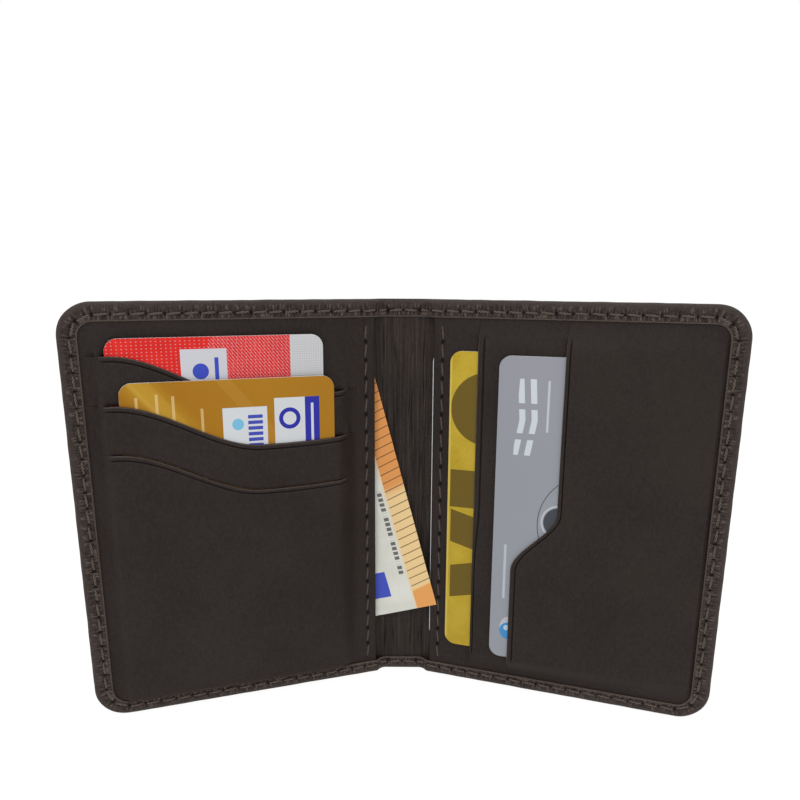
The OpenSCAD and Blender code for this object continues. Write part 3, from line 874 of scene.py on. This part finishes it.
def lining(side, half):
    c = steps((0.0, 11.0, 0.22), (11.0, FOLD_X + LEAF_W - 2.0, 2.4))
    z = steps((1.4, WALLET_H - 1.4, 1.8))
    cc, zz = np.meshgrid(c, z)
    crease = np.zeros_like(cc)
    for k, at in enumerate(SPINE_CREASES):
        shape = at + 0.22 * wander(zz, 38.0, 40 + k + 10 * side)
        crease += (0.10 + 0.05 * (k % 3)) * bell((cc - shape) / 0.26) * (0.7 + 0.3 * wander(zz, 29.0, 60 + k))
    swell = 0.08 * wander(cc * 2.0, 7.0, 21) + 0.05 * wander(zz, 26.0, 22)
    ease = smooth(np.minimum(zz - 3.0, WALLET_H - 4.0 - zz) / 6) * smooth((13.0 - cc) / 3)
    front = SPINE_TOP - crease * ease + swell * ease * 0.6
    front = np.where(cc > FOLD_X, np.minimum(front, SPINE_TOP - 0.04 * smooth((11 - cc) / 2)), front)
    corner = np.minimum(1.0, np.hypot(
        np.maximum(cc - STRAIGHT_C, 0), np.maximum(np.abs(zz - WALLET_H / 2) - SIDE_Z / 2, 0)
    ) / (CORNER_R - 1.6))
    pull_in = np.where(corner >= 1.0, 0.72, 1.0)
    cc = np.where(pull_in < 1, STRAIGHT_C + (cc - STRAIGHT_C) * pull_in, cc)
    zz = np.where(pull_in < 1, WALLET_H / 2 + (zz - WALLET_H / 2) * (1 - 0.042), zz)
    back = np.full_like(cc, COVER_T + 0.02)
    faces = grid_faces(np.arange(cc.size).reshape(cc.shape))
    points, faces = thicken(place(side, cc, front, zz), place(side, cc, back, zz), faces)
    flat = as_points(side * cc + 60, zz, front)
    # Paler beside the spine creases, and painted shade in the creases themselves.
    wear_and_light = ((0.30 * bell((crease - 0.05) / 0.03) - 0.9 * smooth((crease - 0.07) / 0.10)) * ease).ravel()
    piece = make_piece(
        f"{half}_lining_leather", points, faces, [LINING], np.concatenate([flat, flat]),
        np.concatenate([wear_and_light, wear_and_light]),
    )
    face_outward(piece)
    blend_to_spine(piece, side)
    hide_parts(f"{half}_lining", f"{half}_fold_lining", "spine_lining")


# ---- Pocket panels: one sheet each, cut along its slits ----
LIP = [0.0, 0.08, 0.2, 0.38, 0.65, 0.95, 1.1, 1.22, 1.34, 1.5, 1.8, 2.3]
TUCK = [2.4, 1.6, 1.0, 0.55, 0.25, 0.0]


def strip_offsets(length, step):
    """Distances from a lip down to the next cut, close together near both."""
    middle = np.linspace(LIP[-1], length - TUCK[0], max(2, int((length - 4.7) / step) + 1))[1:-1]
    return np.concatenate([LIP, middle, length - np.array(TUCK)])


def open_share(s, start, end):
    """How far a cut is open along its length: nothing at both ends."""
    return smooth((s - start) / 2.6) * smooth((end - s) / 2.6)


def lip_relief(off, opened):
    """Depth of a lip's rounding and of the crease line beside it."""
    rounding = 0.30 * np.square(np.clip(1 - off / 0.4, 0, 1))
    crease = 0.28 * bell((off - 1.22) / 0.17) - 0.06 * bell((off - 0.75) / 0.3)
    return (rounding + crease) * opened


def lip_painted_light(off):
    """Painted highlight on a lip's edge and beside its crease, painted shade in the crease."""
    pale = 0.95 * bell(off / 0.24) + 0.25 * bell((off - 0.8) / 0.3) + 0.3 * bell((off - 1.6) / 0.25)
    return pale - 1.1 * bell((off - 1.22) / 0.16)


def strip_shape(w, off, rest, opened, cut, lip, beyond):
    """Level and paleness of a strip's row, off from its lip and rest from the next cut; at a lip the paleness
    is painted highlight and painted shade.

    Beyond is the next strip's level there, which the row joins where the sheet isn't cut.
    """
    wear_and_light = np.zeros_like(opened)
    if lip:
        w = w - lip_relief(off, opened)
        # Painted highlight on the open lip and painted shade in its crease line.
        wear_and_light += lip_painted_light(off) * opened
    if beyond is not None:
        near = np.exp(-rest / 1.5) * (1 - opened) * cut
        w = w + near * np.maximum(0, beyond - w)
        w = w - 0.25 * opened * bell(rest / 0.35)
    return w, wear_and_light


def denser_end(offsets, length, dropped, near_end):
    """The offsets with the last few replaced, for where the strip slips under the hem."""
    return np.unique(np.concatenate([offsets[:-dropped], length - np.array(near_end)]))


def cut_sheet(strips, cut):
    """Front points of the strips as one array, with the faces between them.

    Each strip is an array of rows of points. Neighbouring strips share their seam's points
    except where cut says that the sheet is open.
    """
    points, faces, last = [], [], None
    total = 0
    for rows in strips:
        index = np.arange(total, total + rows.shape[0] * rows.shape[1]).reshape(rows.shape[:2])
        total += index.size
        points.append(rows.reshape(-1, rows.shape[2]))
        if last is not None:
            index[0] = np.where(cut, index[0], last)
        faces += grid_faces(index)
        last = index[-1]
    points = np.concatenate(points)
    used = np.unique([v for f in faces for v in f])
    place_of = np.full(len(points), -1)
    place_of[used] = np.arange(len(used))
    return points[used], [tuple(int(place_of[v]) for v in f) for f in faces]


FREE_STITCH = 2.5
FREE_LOW_Z = HEM_BOTTOM_W + 1.0
FREE_PITCH = 4.95
FREE_STITCHES = 20


def needle_dip(u, z, free_u):
    """Depth of the leather along the free edge's stitch line."""
    line = bell((u - free_u - FREE_STITCH) / 0.55)
    count = (z - FREE_LOW_Z) / FREE_PITCH
    gap = np.abs(count - np.round(count)) * FREE_PITCH
    return line * (0.15 + 0.05 * bell(gap / 0.55)) * smooth((z - 3) / 1.5) * smooth((106 - z) / 1.5)


def edge_drop(u, free_u):
    """Rounding of a panel's free edge."""
    return 0.26 * np.square(np.clip(1 - (u - free_u) / 0.35, 0, 1))


def panel_piece(side, strips, cut):
    """Builds a panel from strips of (u, z, front level, paleness and painted light)."""
    values, faces = cut_sheet(strips, cut)
    u, z, w, wear_and_light = values.T
    back = w - PANEL_T * (1 - 0.12 * np.clip(wear_and_light, 0, 1))
    points, all_faces = thicken(leaf(side, u, w, z), leaf(side, u, back, z), faces)
    flat = as_points(side * u + 120, z, w)
    materials = [0] * (2 * len(faces)) + [1] * (len(all_faces) - 2 * len(faces))
    half = HALVES[side]
    piece = make_piece(
        f"{half}_pocket_panel", points, all_faces, [POCKET, RAW], np.concatenate([flat, flat]),
        np.concatenate([wear_and_light, wear_and_light * 0]), materials, sharp=50,
    )
    face_outward(piece)
    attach(piece, f"{half}_half")
    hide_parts(f"{half}_panel")


def s_curve(d):
    """Height of a left slit below its outer end, at distance d from the outer edge."""
    return -11.9 * smooth((d - 11) / 36) + 1.1 * np.square(np.maximum(0, (d - 50) / 22))


def left_slit(k, d):
    return 97.1 - 12.0 * (k - 1) + s_curve(d)


def left_panel():
    free_u = FREE_U[-1]
    d = steps(
        (3.6, 7.4, 0.95), (7.4, 11.4, 0.4), (11.4, 66.0, 1.05), (66.0, 72.6, 0.44), (72.6, 75.0, 0.8),
        (75.0, 78.3, 0.3), (78.3, LEAF_W - free_u, 0.12),
    )
    cut = (d > SLIT_START_D + 0.01) & (d < SLIT_END_D - 0.01)
    opened = open_share(d, SLIT_START_D, SLIT_END_D)
    across = smooth((d - 5.3) / 4.7) * (1 - smooth((d - 67.2) / 7.0))
    slits = [left_slit(k, d) for k in (1, 2, 3)]
    edges = [np.full_like(d, PANEL_TOP_Z), *slits, np.full_like(d, PANEL_LOW_Z)]
    backs = [PANEL, STRIP_B, STRIP_C, STRIP_D]
    u = LEAF_W - d

    def level(k, z):
        """Front of strip k: it climbs off the panel's own level between the strip's ends."""
        full = backs[k] + PANEL_T + math.tan(LEFT_LEAN) * (z - RED_LOW_Z)
        lift = (full - HEM) * across if k else 0.0
        if k == 3:
            lift = lift * smooth((z - 3.6) / 1.6)
        return HEM + lift

    strips = []
    for k in range(4):
        top, low = edges[k], edges[k + 1]
        length = float(np.mean(top - low))
        offsets = strip_offsets(length, 1.0 if k in (1, 2) else 1.6)
        if k == 3:
            offsets = denser_end(offsets, length, 1, [2.7, 2.2, 1.9, 1.5, 1.1, 0.8, 0.4, 0.0])
        rows = []
        for off in offsets:
            z = top + (low - top) * off / length
            beyond = level(k + 1, z) if k < 3 else None
            w, wear_and_light = strip_shape(level(k, z), off, length - off, opened, cut, k > 0, beyond)
            if k == 3:
                z = z - 0.22 * opened * bell(off / 1.2)
            ripple = 0.06 * across * (wander(d, 23.0, 11 + k) + wander(z, 31.0, 15))
            w = w + ripple - needle_dip(u, z, free_u) - edge_drop(u, free_u)
            wear_and_light += 0.35 * bell((u - free_u) / 0.3)
            rows.append(np.stack([u, z, w, wear_and_light], axis=-1))
        strips.append(np.stack(rows))
    panel_piece(-1, strips, cut)


def bent_slit(z):
    """Distance of the fifth slit from the fold at height z."""
    return LOWER_SLIT_U + (UPPER_SLIT_U - LOWER_SLIT_U) * smooth((z - 37.5) / 17.0)


def right_panel():
    free_u = FREE_U[1]
    z = steps(
        (PANEL_LOW_Z, 7.4, 0.7), (7.4, 11.4, 0.4), (11.4, 36.0, 1.3), (36.0, 56.0, 0.8), (56.0, 98.6, 1.3),
        (98.6, 102.6, 0.4), (102.6, PANEL_TOP_Z, 0.8),
    )
    cut = (z > SLIT_LOW_Z + 0.01) & (z < SLIT_TOP_Z - 0.01)
    opened = open_share(z, SLIT_LOW_Z, SLIT_TOP_Z)
    along = smooth((z - 3.7) / 6.8) * (1 - smooth((z - 96.9) / 8.6))
    bend = bent_slit(z)
    edges = [np.full_like(z, free_u), np.full_like(z, STRAIGHT_SLIT_U), bend, np.full_like(z, PANEL_END_U)]

    def level(k, u):
        """Front of strip k at distance u from the fold."""
        if k == 0:
            return HEM + u * 0
        if k == 1:
            return HEM + (STRIP_F + PANEL_T - math.tan(YELLOW_LEAN) * (u - STRAIGHT_SLIT_U) - HEM) * along
        full = STRIP_G + PANEL_T - math.tan(GREY_LEAN) * (u - UPPER_SLIT_U)
        return HEM + (full - HEM) * along * smooth((75.95 - u) / 1.4)

    strips = []
    for k in range(3):
        low, high = edges[k], edges[k + 1]
        length = float(np.mean(high - low))
        if k == 0:
            offsets = np.concatenate([
                [0.0, 0.12, 0.24, 0.36], np.arange(0.6, 4.4, 0.28), np.arange(4.6, length - 2.6, 1.0),
                length - np.array(TUCK),
            ])
        else:
            offsets = strip_offsets(length, 1.2)
        if k == 2:
            near_end = [4.5, 3.9, 3.4, 3.0, 2.7, 2.4, 2.1, 1.8, 1.5, 1.2, 0.9, 0.0]
            offsets = denser_end(offsets, length, len(TUCK), near_end)
        rows = []
        for off in offsets:
            u = low + (high - low) * off / length
            beyond = level(k + 1, u) if k < 2 else None
            w, wear_and_light = strip_shape(level(k, u), off, length - off, opened, cut, k > 0, beyond)
            ripple = 0.06 * along * (wander(u, 27.0, 31 + k) + wander(z, 41.0, 35)) * smooth((u - 6) / 6)
            w = w + ripple * (k > 0)
            if k == 0:
                w = w - needle_dip(u, z, free_u) - edge_drop(u, free_u)
                wear_and_light += 0.35 * bell((u - free_u) / 0.3)
            rows.append(np.stack([u, z, w, wear_and_light], axis=-1))
        strips.append(np.stack(rows))
    panel_piece(1, strips, cut)


# ---- Textile behind the panels and between the pockets ----
def cloth(side, name, node, us, zs, level, t):
    """A thin sheet of lining cloth; level(u, z) is its back and zs gives its low and high edge."""
    u, share = np.meshgrid(us, np.linspace(0, 1, 40))
    low, high = zs(u)
    z = low + (high - low) * share
    w = level(u, z)
    faces = grid_faces(np.arange(u.size).reshape(u.shape))
    points, faces = thicken(leaf(side, u, w + t, z), leaf(side, u, w, z), faces)
    flat = as_points(u, z, w)
    piece = make_piece(name, points, faces, [TEXTILE], np.concatenate([flat, flat]))
    face_outward(piece)
    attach(piece, f"{HALVES[side]}_half")
    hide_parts(node)


BACKING_CLOTH_T = 0.28
DIVIDER_CLOTH_T = 0.18


def textiles():
    for side, name in HALVES.items():
        us = np.linspace(FREE_U[side] + 0.12, PANEL_END_U, 60)
        cloth(
            side, f"{name}_backing_cloth", f"{name}_backing", us,
            lambda u: (np.full_like(u, PANEL_LOW_Z), np.full_like(u, PANEL_TOP_Z)),
            lambda u, z: BACKING + 0.04 * wander(z, 21.0, 71) * bell((u - 2) / 9),
            BACKING_CLOTH_T,
        )
    us = np.linspace(LEAF_W - 67.2, LEAF_W - 10.1, 60)
    for k, level in ((2, GOLD_LEVEL - SNUG - DIVIDER_T), (3, STRIP_C)):
        cloth(
            -1, f"left_divider_cloth_{k - 1}", f"left_divider_{k - 1}", us,
            lambda u, k=k: (np.full_like(u, 5.0), left_slit(k, LEAF_W - u) - 0.7),
            lambda u, z, level=level: level + math.tan(LEFT_LEAN) * (z - RED_LOW_Z),
            DIVIDER_CLOTH_T,
        )
    us = np.linspace(UPPER_SLIT_U + 0.6, LEAF_W - 6.4, 60)
    cloth(
        1, "right_divider_cloth", "right_divider", us,
        lambda u: (np.full_like(u, 10.0), np.full_like(u, 97.4)),
        lambda u, z: GREY_LEVEL - SNUG - DIVIDER_T - math.tan(GREY_LEAN) * (u - UPPER_SLIT_U),
        DIVIDER_CLOTH_T,
    )


# ---- Cards ----
# A card's eased edge from its back: inset from the edge, height over the back
CARD_EASE = [(0.09, 0.0), (0.025, 0.025), (0.0, 0.10)]


def card_outline(inset):
    """Points round a card, this far inside its edge."""
    found = []
    r = CARD_R - inset
    corners = [(CARD_S - CARD_R, CARD_L - CARD_R, 0), (CARD_R, CARD_L - CARD_R, 90),
               (CARD_R, CARD_R, 180), (CARD_S - CARD_R, CARD_R, 270)]
    for x, y, start in corners:
        for a in np.radians(np.linspace(start, start + 90, 10)):
            found.append((x + r * math.cos(a), y + r * math.sin(a)))
    return np.array(found)


def card(side, name, body, material, low_u, low_z, to_leaf):
    """A plastic card with eased edges; to_leaf(u, z, n) gives its leaning place on the half."""
    rings = CARD_EASE + [(inset, CARD_T - rise) for inset, rise in reversed(CARD_EASE)]
    outlines = [card_outline(inset) for inset, _ in rings]
    n = len(outlines[0])
    index = np.arange(n * len(rings)).reshape(len(rings), n)
    faces = grid_faces(closed(index)) + end_caps(index)
    s = np.concatenate([o[:, 0] for o in outlines])
    t = np.concatenate([o[:, 1] for o in outlines])
    height = np.repeat([level for _, level in rings], n)
    u, z, w = to_leaf(low_u + s, low_z + t, height)
    across = CARD_S - s if side < 0 else s
    flat = as_points(across, t, height)
    piece = make_piece(name, leaf(side, u, w, z), faces, [material], flat, sharp=50)
    face_outward(piece)
    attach(piece, body)
    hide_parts(body)


def left_lean(level):
    def to_leaf(u, z, n):
        rise = z - RED_LOW_Z
        return (
            u, RED_LOW_Z + rise * math.cos(LEFT_LEAN) - n * math.sin(LEFT_LEAN),
            level + rise * math.sin(LEFT_LEAN) + n * math.cos(LEFT_LEAN),
        )
    return to_leaf


def right_lean(level, lean, pivot):
    def to_leaf(u, z, n):
        return (
            pivot + (u - pivot) * math.cos(lean) + n * math.sin(lean), z,
            level - (u - pivot) * math.sin(lean) + n * math.cos(lean),
        )
    return to_leaf


def cards():
    card(-1, "red_printed_card", "red_card", red_card_look(), LEAF_W - 10.4 - CARD_S, RED_LOW_Z,
         left_lean(RED_LEVEL))
    card(-1, "gold_printed_card", "gold_card", gold_card_look(), LEAF_W - 12.8 - CARD_S, 5.0,
         left_lean(GOLD_LEVEL))
    card(1, "yellow_printed_card", "yellow_card", yellow_card_look(), LEAF_W - 73.7, 11.1,
         right_lean(YELLOW_LEVEL, YELLOW_LEAN, STRAIGHT_SLIT_U))
    card(1, "grey_printed_card", "grey_card", grey_card_look(), LEAF_W - 59.9, 10.6,
         right_lean(GREY_LEVEL, GREY_LEAN, UPPER_SLIT_U))
    card(1, "white_plain_card", "white_card", white_card_look(), LEAF_W - 79.25, 10.8,
         right_lean(SPINE_TOP + 0.1, 0.0, 0.0))


# ---- Banknote: folded in two layers, leaning over the spine ----
NOTE_LEAN = math.radians(15.3)
NOTE_CORNER_Z = 22.5
NOTE_TIP_U = 4.0
NOTE_TURN_U = 1.2
NOTE_LEVEL = 2.25
# Levels over the note's back: the outside of one layer, round the fold, to the outside of the other
NOTE_RINGS = [(0.02, 0.05), (0.11, 0.12), (0.19, 0.12), (0.28, 0.05)]


def note_path():
    """The note from above, from its tip on the right half to deep in the left one."""
    tip = spot(leaf, 1, NOTE_TIP_U, HEM + SNUG)[:2]
    turn = spot(leaf, -1, NOTE_TURN_U, NOTE_LEVEL)[:2]
    deep = spot(leaf, -1, LEAF_W, NOTE_LEVEL)[:2]
    first, second = turn - tip, deep - turn
    length = np.linalg.norm(first)
    t = np.linspace(0, 95, 1900)
    on_first = tip + first / length * t[:, None]
    on_second = turn + second / np.linalg.norm(second) * (t - length)[:, None]
    share = smooth((t - length + 3.0) / 6.0)[:, None]
    return t, on_first * (1 - share) + on_second * share


def banknote():
    """One sheet folded double at its right edge: a closed mesh with two layers."""
    t, line = note_path()
    slope = np.gradient(line, t, axis=0)
    normal = np.stack([-slope[:, 1], slope[:, 0]], axis=-1)
    normal /= np.linalg.norm(normal, axis=1)[:, None]
    normal *= -np.sign(normal[0, 1])
    a = steps((0.0, 24.0, 0.9), (24.0, NOTE_W, 2.3))
    b = steps((0.0, NOTE_H, 1.1))

    def layer(level, inset):
        aa, bb = np.meshgrid(a, b)
        aa = np.where(aa < 0.01, inset, aa)
        along = aa * math.cos(NOTE_LEAN) + bb * math.sin(NOTE_LEAN)
        z = NOTE_CORNER_Z + bb * math.cos(NOTE_LEAN) - aa * math.sin(NOTE_LEAN)
        curl = 0.25 * bell((aa - 2) / 5) * np.sin(bb / 13.0) + 0.08 * wander(bb, 19.0, 81)
        x = np.interp(along, t, line[:, 0]) + (level + curl) * np.interp(along, t, normal[:, 0])
        y = np.interp(along, t, line[:, 1]) + (level + curl) * np.interp(along, t, normal[:, 1])
        return as_points(x, y, z), as_points(aa, bb, np.full_like(aa, level))

    layers = [layer(*ring) for ring in NOTE_RINGS]
    size = a.size * b.size
    base = np.arange(size).reshape(b.size, a.size)
    sheets = [base + k * size for k in range(len(layers))]
    faces = grid_faces(sheets[0]) + [f[::-1] for f in grid_faces(sheets[1])]
    faces += grid_faces(sheets[2]) + [f[::-1] for f in grid_faces(sheets[3])]
    # The fold: outer turn joins the outermost layers, inner turn the two inside ones
    faces += grid_faces(np.stack([sheets[3][:, 0], sheets[0][:, 0]]))
    faces += grid_faces(np.stack([sheets[1][:, 0], sheets[2][:, 0]]))
    # Each layer's far edge, and its lower and upper edges
    for low, high in ((0, 1), (2, 3)):
        faces += grid_faces(np.stack([sheets[low][:, -1], sheets[high][:, -1]]))
    for row in (0, -1):
        rows = [s[row] for s in sheets]
        loop = np.concatenate([rows[0][::-1], rows[3]])
        inside = np.concatenate([rows[1][::-1], rows[2]])
        faces += grid_faces(np.stack([loop, inside]))
    return np.concatenate([p for p, _ in layers]), faces, np.concatenate([f for _, f in layers])


def banknote_pieces():
    """The note in two pieces that meet at the middle of the spine."""
    material = paper_look()
    points, faces, flat = banknote()
    layers = 2
    corner_w, corner_h = 10.1, 39.4
    corner_area = layers * corner_w * corner_h / 2
    rest_area = layers * NOTE_W * NOTE_H - corner_area
    sizes = {
        -1: ("banknote", (layers * NOTE_W, NOTE_H), rest_area, NOTE_TIP_U),
        1: ("banknote_corner", (layers * corner_w, corner_h), corner_area, NOTE_TURN_U),
    }
    for side, (node, size, area, bend_end) in sizes.items():
        piece = make_piece(f"folded_{node}", points, faces, [material], flat, sharp=50)
        mesh = bmesh.new()
        mesh.from_mesh(piece.data)
        everything = mesh.verts[:] + mesh.edges[:] + mesh.faces[:]
        bmesh.ops.bisect_plane(
            mesh, geom=everything, dist=1e-9, plane_co=(0, 0, 0), plane_no=(-side, 0, 0), clear_outer=True
        )
        bmesh.ops.holes_fill(mesh, edges=[e for e in mesh.edges if e.is_boundary], sides=0)
        bmesh.ops.recalc_face_normals(mesh, faces=mesh.faces)
        mesh.to_mesh(piece.data)
        mesh.free()
        piece.data.shade_smooth()
        piece.data.set_sharp_from_angle(angle=math.radians(50))
        start = spot(place, side, BEND_START, 2.0) * MM
        end = spot(leaf, side, bend_end, 2.0) * MM
        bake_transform(piece)
        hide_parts(node)


# ---- Stitches ----
class Seam:
    """Gathers thread segments and the needle holes' dark dishes of painted shade into one mesh."""

    def __init__(self):
        self.points, self.faces, self.flat, self.kinds = [], [], [], []
        self.total = 0

    def add(self, points, faces, flat, kind):
        self.points.append(points)
        self.flat.append(flat)
        self.faces += [tuple(int(v) + self.total for v in f) for f in faces]
        self.kinds += [kind] * len(faces)
        self.total += len(points)

    def thread(self, to_row, start, end, level, dive, r=0.27):
        """A stitch from start to end, flat points (c or u, z), that dives into the leather at both."""
        sides, rings = 8, 11
        t = np.linspace(-1, 1, rings)
        middle, half = (start + end) / 2, (end - start) / 2
        length = np.linalg.norm(half)
        across = np.array([-half[1], half[0]]) / length
        lift = 0.10 - dive * np.abs(t) ** 5
        width = r * np.sqrt(np.clip(1.06 - np.abs(t) ** 7, 0.06, 1))
        angles = angle_ring(sides)
        turn = t[:, None] * length * 1.5
        ply = 1 + 0.10 * np.cos(2 * (angles[None, :] - turn))
        off = (width[:, None] * ply) * np.cos(angles)[None, :]
        up = lift[:, None] + (width[:, None] * ply) * np.sin(angles)[None, :] * 0.85
        flat_point = middle + half * t[:, None]
        plan = flat_point[:, None, :] + across * off[..., None]
        points = to_row(plan[..., 0], level + up * np.sign(dive), plan[..., 1]).reshape(-1, 3)
        index = np.arange(rings * sides).reshape(rings, sides)
        along = np.repeat(t * length, sides)
        flat = as_points(along, np.tile(angles, rings), along * 0)
        self.add(points, grid_faces(closed(index)) + end_caps(index), flat, 0)

    def hole(self, to_row, at, level, r):
        """A needle hole as painted shade: a small dark dish with a low rim."""
        sides = 12
        angles = angle_ring(sides)
        rings = [(1.0, -0.12), (1.0, 0.015), (0.72, 0.03), (0.0, -0.03)]
        points, index, total = [], [], 0
        for share, up in rings[:-1]:
            plan = at + r * share * np.stack([np.cos(angles), np.sin(angles)], axis=-1)
            points.append(to_row(plan[:, 0], np.full(sides, level + up), plan[:, 1]))
            index.append(np.arange(total, total + sides))
            total += sides
        for up in (rings[-1][1], rings[0][1]):
            points.append(to_row(np.array([at[0]]), np.array([level + up]), np.array([at[1]])))
        index = np.stack(index)
        faces = grid_faces(closed(index))
        top, low = total, total + 1
        faces += [(index[2][k], index[2][(k + 1) % sides], top) for k in range(sides)]
        faces += [(index[0][(k + 1) % sides], index[0][k], low) for k in range(sides)]
        points = np.concatenate(points)
        self.add(points, faces, points, 1)

    def build(self, name):
        piece = make_piece(
            name, np.concatenate(self.points), self.faces, [THREAD, HOLE_SHADE], np.concatenate(self.flat),
            face_material=self.kinds, sharp=60,
        )
        return face_outward(piece)


def hem_line():
    """Every needle hole of a half's hem, from the bottom of the spine round to its top."""
    low_e = float(hem_inset(np.array(STITCH_E), 1.0))
    r = CORNER_R - STITCH_E
    points = [np.array([k * STITCH_PITCH, low_e]) for k in range(HEM_STITCHES + 1)]
    lowest = np.array([STRAIGHT_C, CORNER_R])
    angle = math.radians(45)
    points.append(lowest + np.array([r * math.sin(angle), -(r + 0.25) * math.cos(angle)]))
    side_c = STRAIGHT_C + r
    points += [np.array([side_c, CORNER_R + SIDE_Z * k / SIDE_STITCHES]) for k in range(SIDE_STITCHES + 1)]
    top = np.array([STRAIGHT_C, WALLET_H - CORNER_R])
    points.append(top + r * np.array([math.cos(angle), math.sin(angle)]))
    points += [
        np.array([k * STITCH_PITCH, WALLET_H - STITCH_E]) for k in range(HEM_STITCHES, -1, -1)
    ]
    return points


def hem_stitches(side, half):
    seam = Seam()
    holes = hem_line()
    to_row = partial(place, side)
    for start, end in zip(holes[:-1], holes[1:]):
        step = end - start
        slant = np.array([-step[1], step[0]]) / np.linalg.norm(step) * 0.13
        inner = float(hem_base(np.array((start[0] + end[0]) / 2))) + HEM_T
        seam.thread(to_row, start + step * 0.09 + slant, end - step * 0.09 - slant, inner - 0.06, 0.42)
        seam.thread(to_row, start + step * 0.09 - slant, end - step * 0.09 + slant, 0.04, -0.42)
    # Dark dishes of painted shade in the needle holes.
    for at in holes[1:-1] if side > 0 else holes:
        inner = float(hem_base(np.array(at[0]))) + HEM_T
        seam.hole(to_row, at, inner - 0.36, 0.42)
    piece = seam.build(f"{half}_hem_seam")
    blend_to_spine(piece, side)
    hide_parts(f"{half}_hem_stitches", "spine_hem_stitches")


def panel_stitches(side, half):
    seam = Seam()
    u = FREE_U[side] + FREE_STITCH
    to_row = partial(leaf, side)
    holes = [np.array([u, FREE_LOW_Z + FREE_PITCH * k]) for k in range(FREE_STITCHES + 1)]
    for start, end in zip(holes[:-1], holes[1:]):
        step = end - start
        slant = np.array([0.26, 0.0])
        seam.thread(to_row, start + step * 0.07 + slant, end - step * 0.07 - slant, HEM - 0.23, 0.36, r=0.19)
    # Dark dishes of painted shade in the needle holes.
    for at in holes[1:-1]:
        seam.hole(to_row, at, HEM - 0.05, 0.52)
    piece = seam.build(f"{half}_panel_seam")
    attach(piece, f"{half}_half")
    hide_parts(f"{half}_panel_stitches")


def wallet():
    for make in (outer_leather, lining):
        for side, half in HALVES.items():
            make(side, half)
    left_panel()
    right_panel()
    textiles()
    for make in (hem_stitches, panel_stitches):
        for side, half in HALVES.items():
            make(side, half)
    cards()
    banknote_pieces()


# ---- Stage: floor, lights and camera ----
def floor():
    mesh = bpy.data.meshes.new("floor")
    half = 3.0
    corners = [(-half, -half, 0), (half, -half, 0), (half, half, 0), (-half, half, 0)]
    mesh.from_pydata(corners, [], [(0, 1, 2, 3)])
    material = bpy.data.materials.new("floor")
    material.use_nodes = True
    shader = material.node_tree.nodes["Principled BSDF"]
    shader.inputs["Base Color"].default_value = (0.12, 0.12, 0.12, 1.0)
    shader.inputs["Roughness"].default_value = 0.9
    shader.inputs["Specular IOR Level"].default_value = 0.0
    shader.inputs["Emission Color"].default_value = (1.0, 1.0, 1.0, 1.0)
    shader.inputs["Emission Strength"].default_value = 0.93
    mesh.materials.append(material)
    plane = bpy.data.objects.new("floor", mesh)
    bpy.context.scene.collection.objects.link(plane)


def area_light(name, place_m, aim_m, size, power, colour=(1.0, 1.0, 1.0)):
    data = bpy.data.lights.new(name, "AREA")
    data.shape = "DISK"
    data.size = size
    data.energy = power
    data.color = colour
    light = bpy.data.objects.new(name, data)
    light.location = place_m
    light.rotation_euler = (Vector(aim_m) - Vector(place_m)).to_track_quat("-Z", "Y").to_euler()
    bpy.context.scene.collection.objects.link(light)


def lights():
    world = bpy.data.worlds.new("studio")
    world.use_nodes = True
    world.node_tree.nodes["Background"].inputs["Color"].default_value = (1.0, 1.0, 1.0, 1.0)
    world.node_tree.nodes["Background"].inputs["Strength"].default_value = 1.0
    bpy.context.scene.world = world
    area_light("key", (-0.35, -0.55, 0.75), (0, -0.01, 0.05), 0.5, 1.7)
    area_light("fill", (0.55, -0.45, 0.45), (0, 0, 0.05), 0.6, 0.5)
    area_light("top", (0.0, 0.25, 0.9), (0, 0, 0.05), 0.7, 0.8)


def camera():
    """A hand-held view from the front and a little above."""
    pitch, yaw, roll = 0.2648, -0.0036, 0.0041
    forward = Vector((math.sin(yaw) * math.cos(pitch), math.cos(yaw) * math.cos(pitch), -math.sin(pitch)))
    right = Vector((math.cos(yaw), -math.sin(yaw), 0.0))
    up = right.cross(forward)
    right, up = (
        right * math.cos(roll) + up * math.sin(roll),
        up * math.cos(roll) - right * math.sin(roll),
    )
    data = bpy.data.cameras.new("camera")
    data.lens = 34.94
    data.sensor_width = 36.0
    data.sensor_fit = "HORIZONTAL"
    data.shift_y = 0.1
    data.clip_start = 0.01
    camera_object = bpy.data.objects.new("camera", data)
    turn = Matrix((right, up, -forward)).transposed().to_4x4()
    camera_object.matrix_world = Matrix.Translation((-0.04 * MM, -200.57 * MM, 117.59 * MM)) @ turn
    bpy.context.scene.collection.objects.link(camera_object)
    bpy.context.scene.camera = camera_object


wallet()
floor()
lights()
camera()
bpy.context.scene.view_settings.view_transform = "Standard"
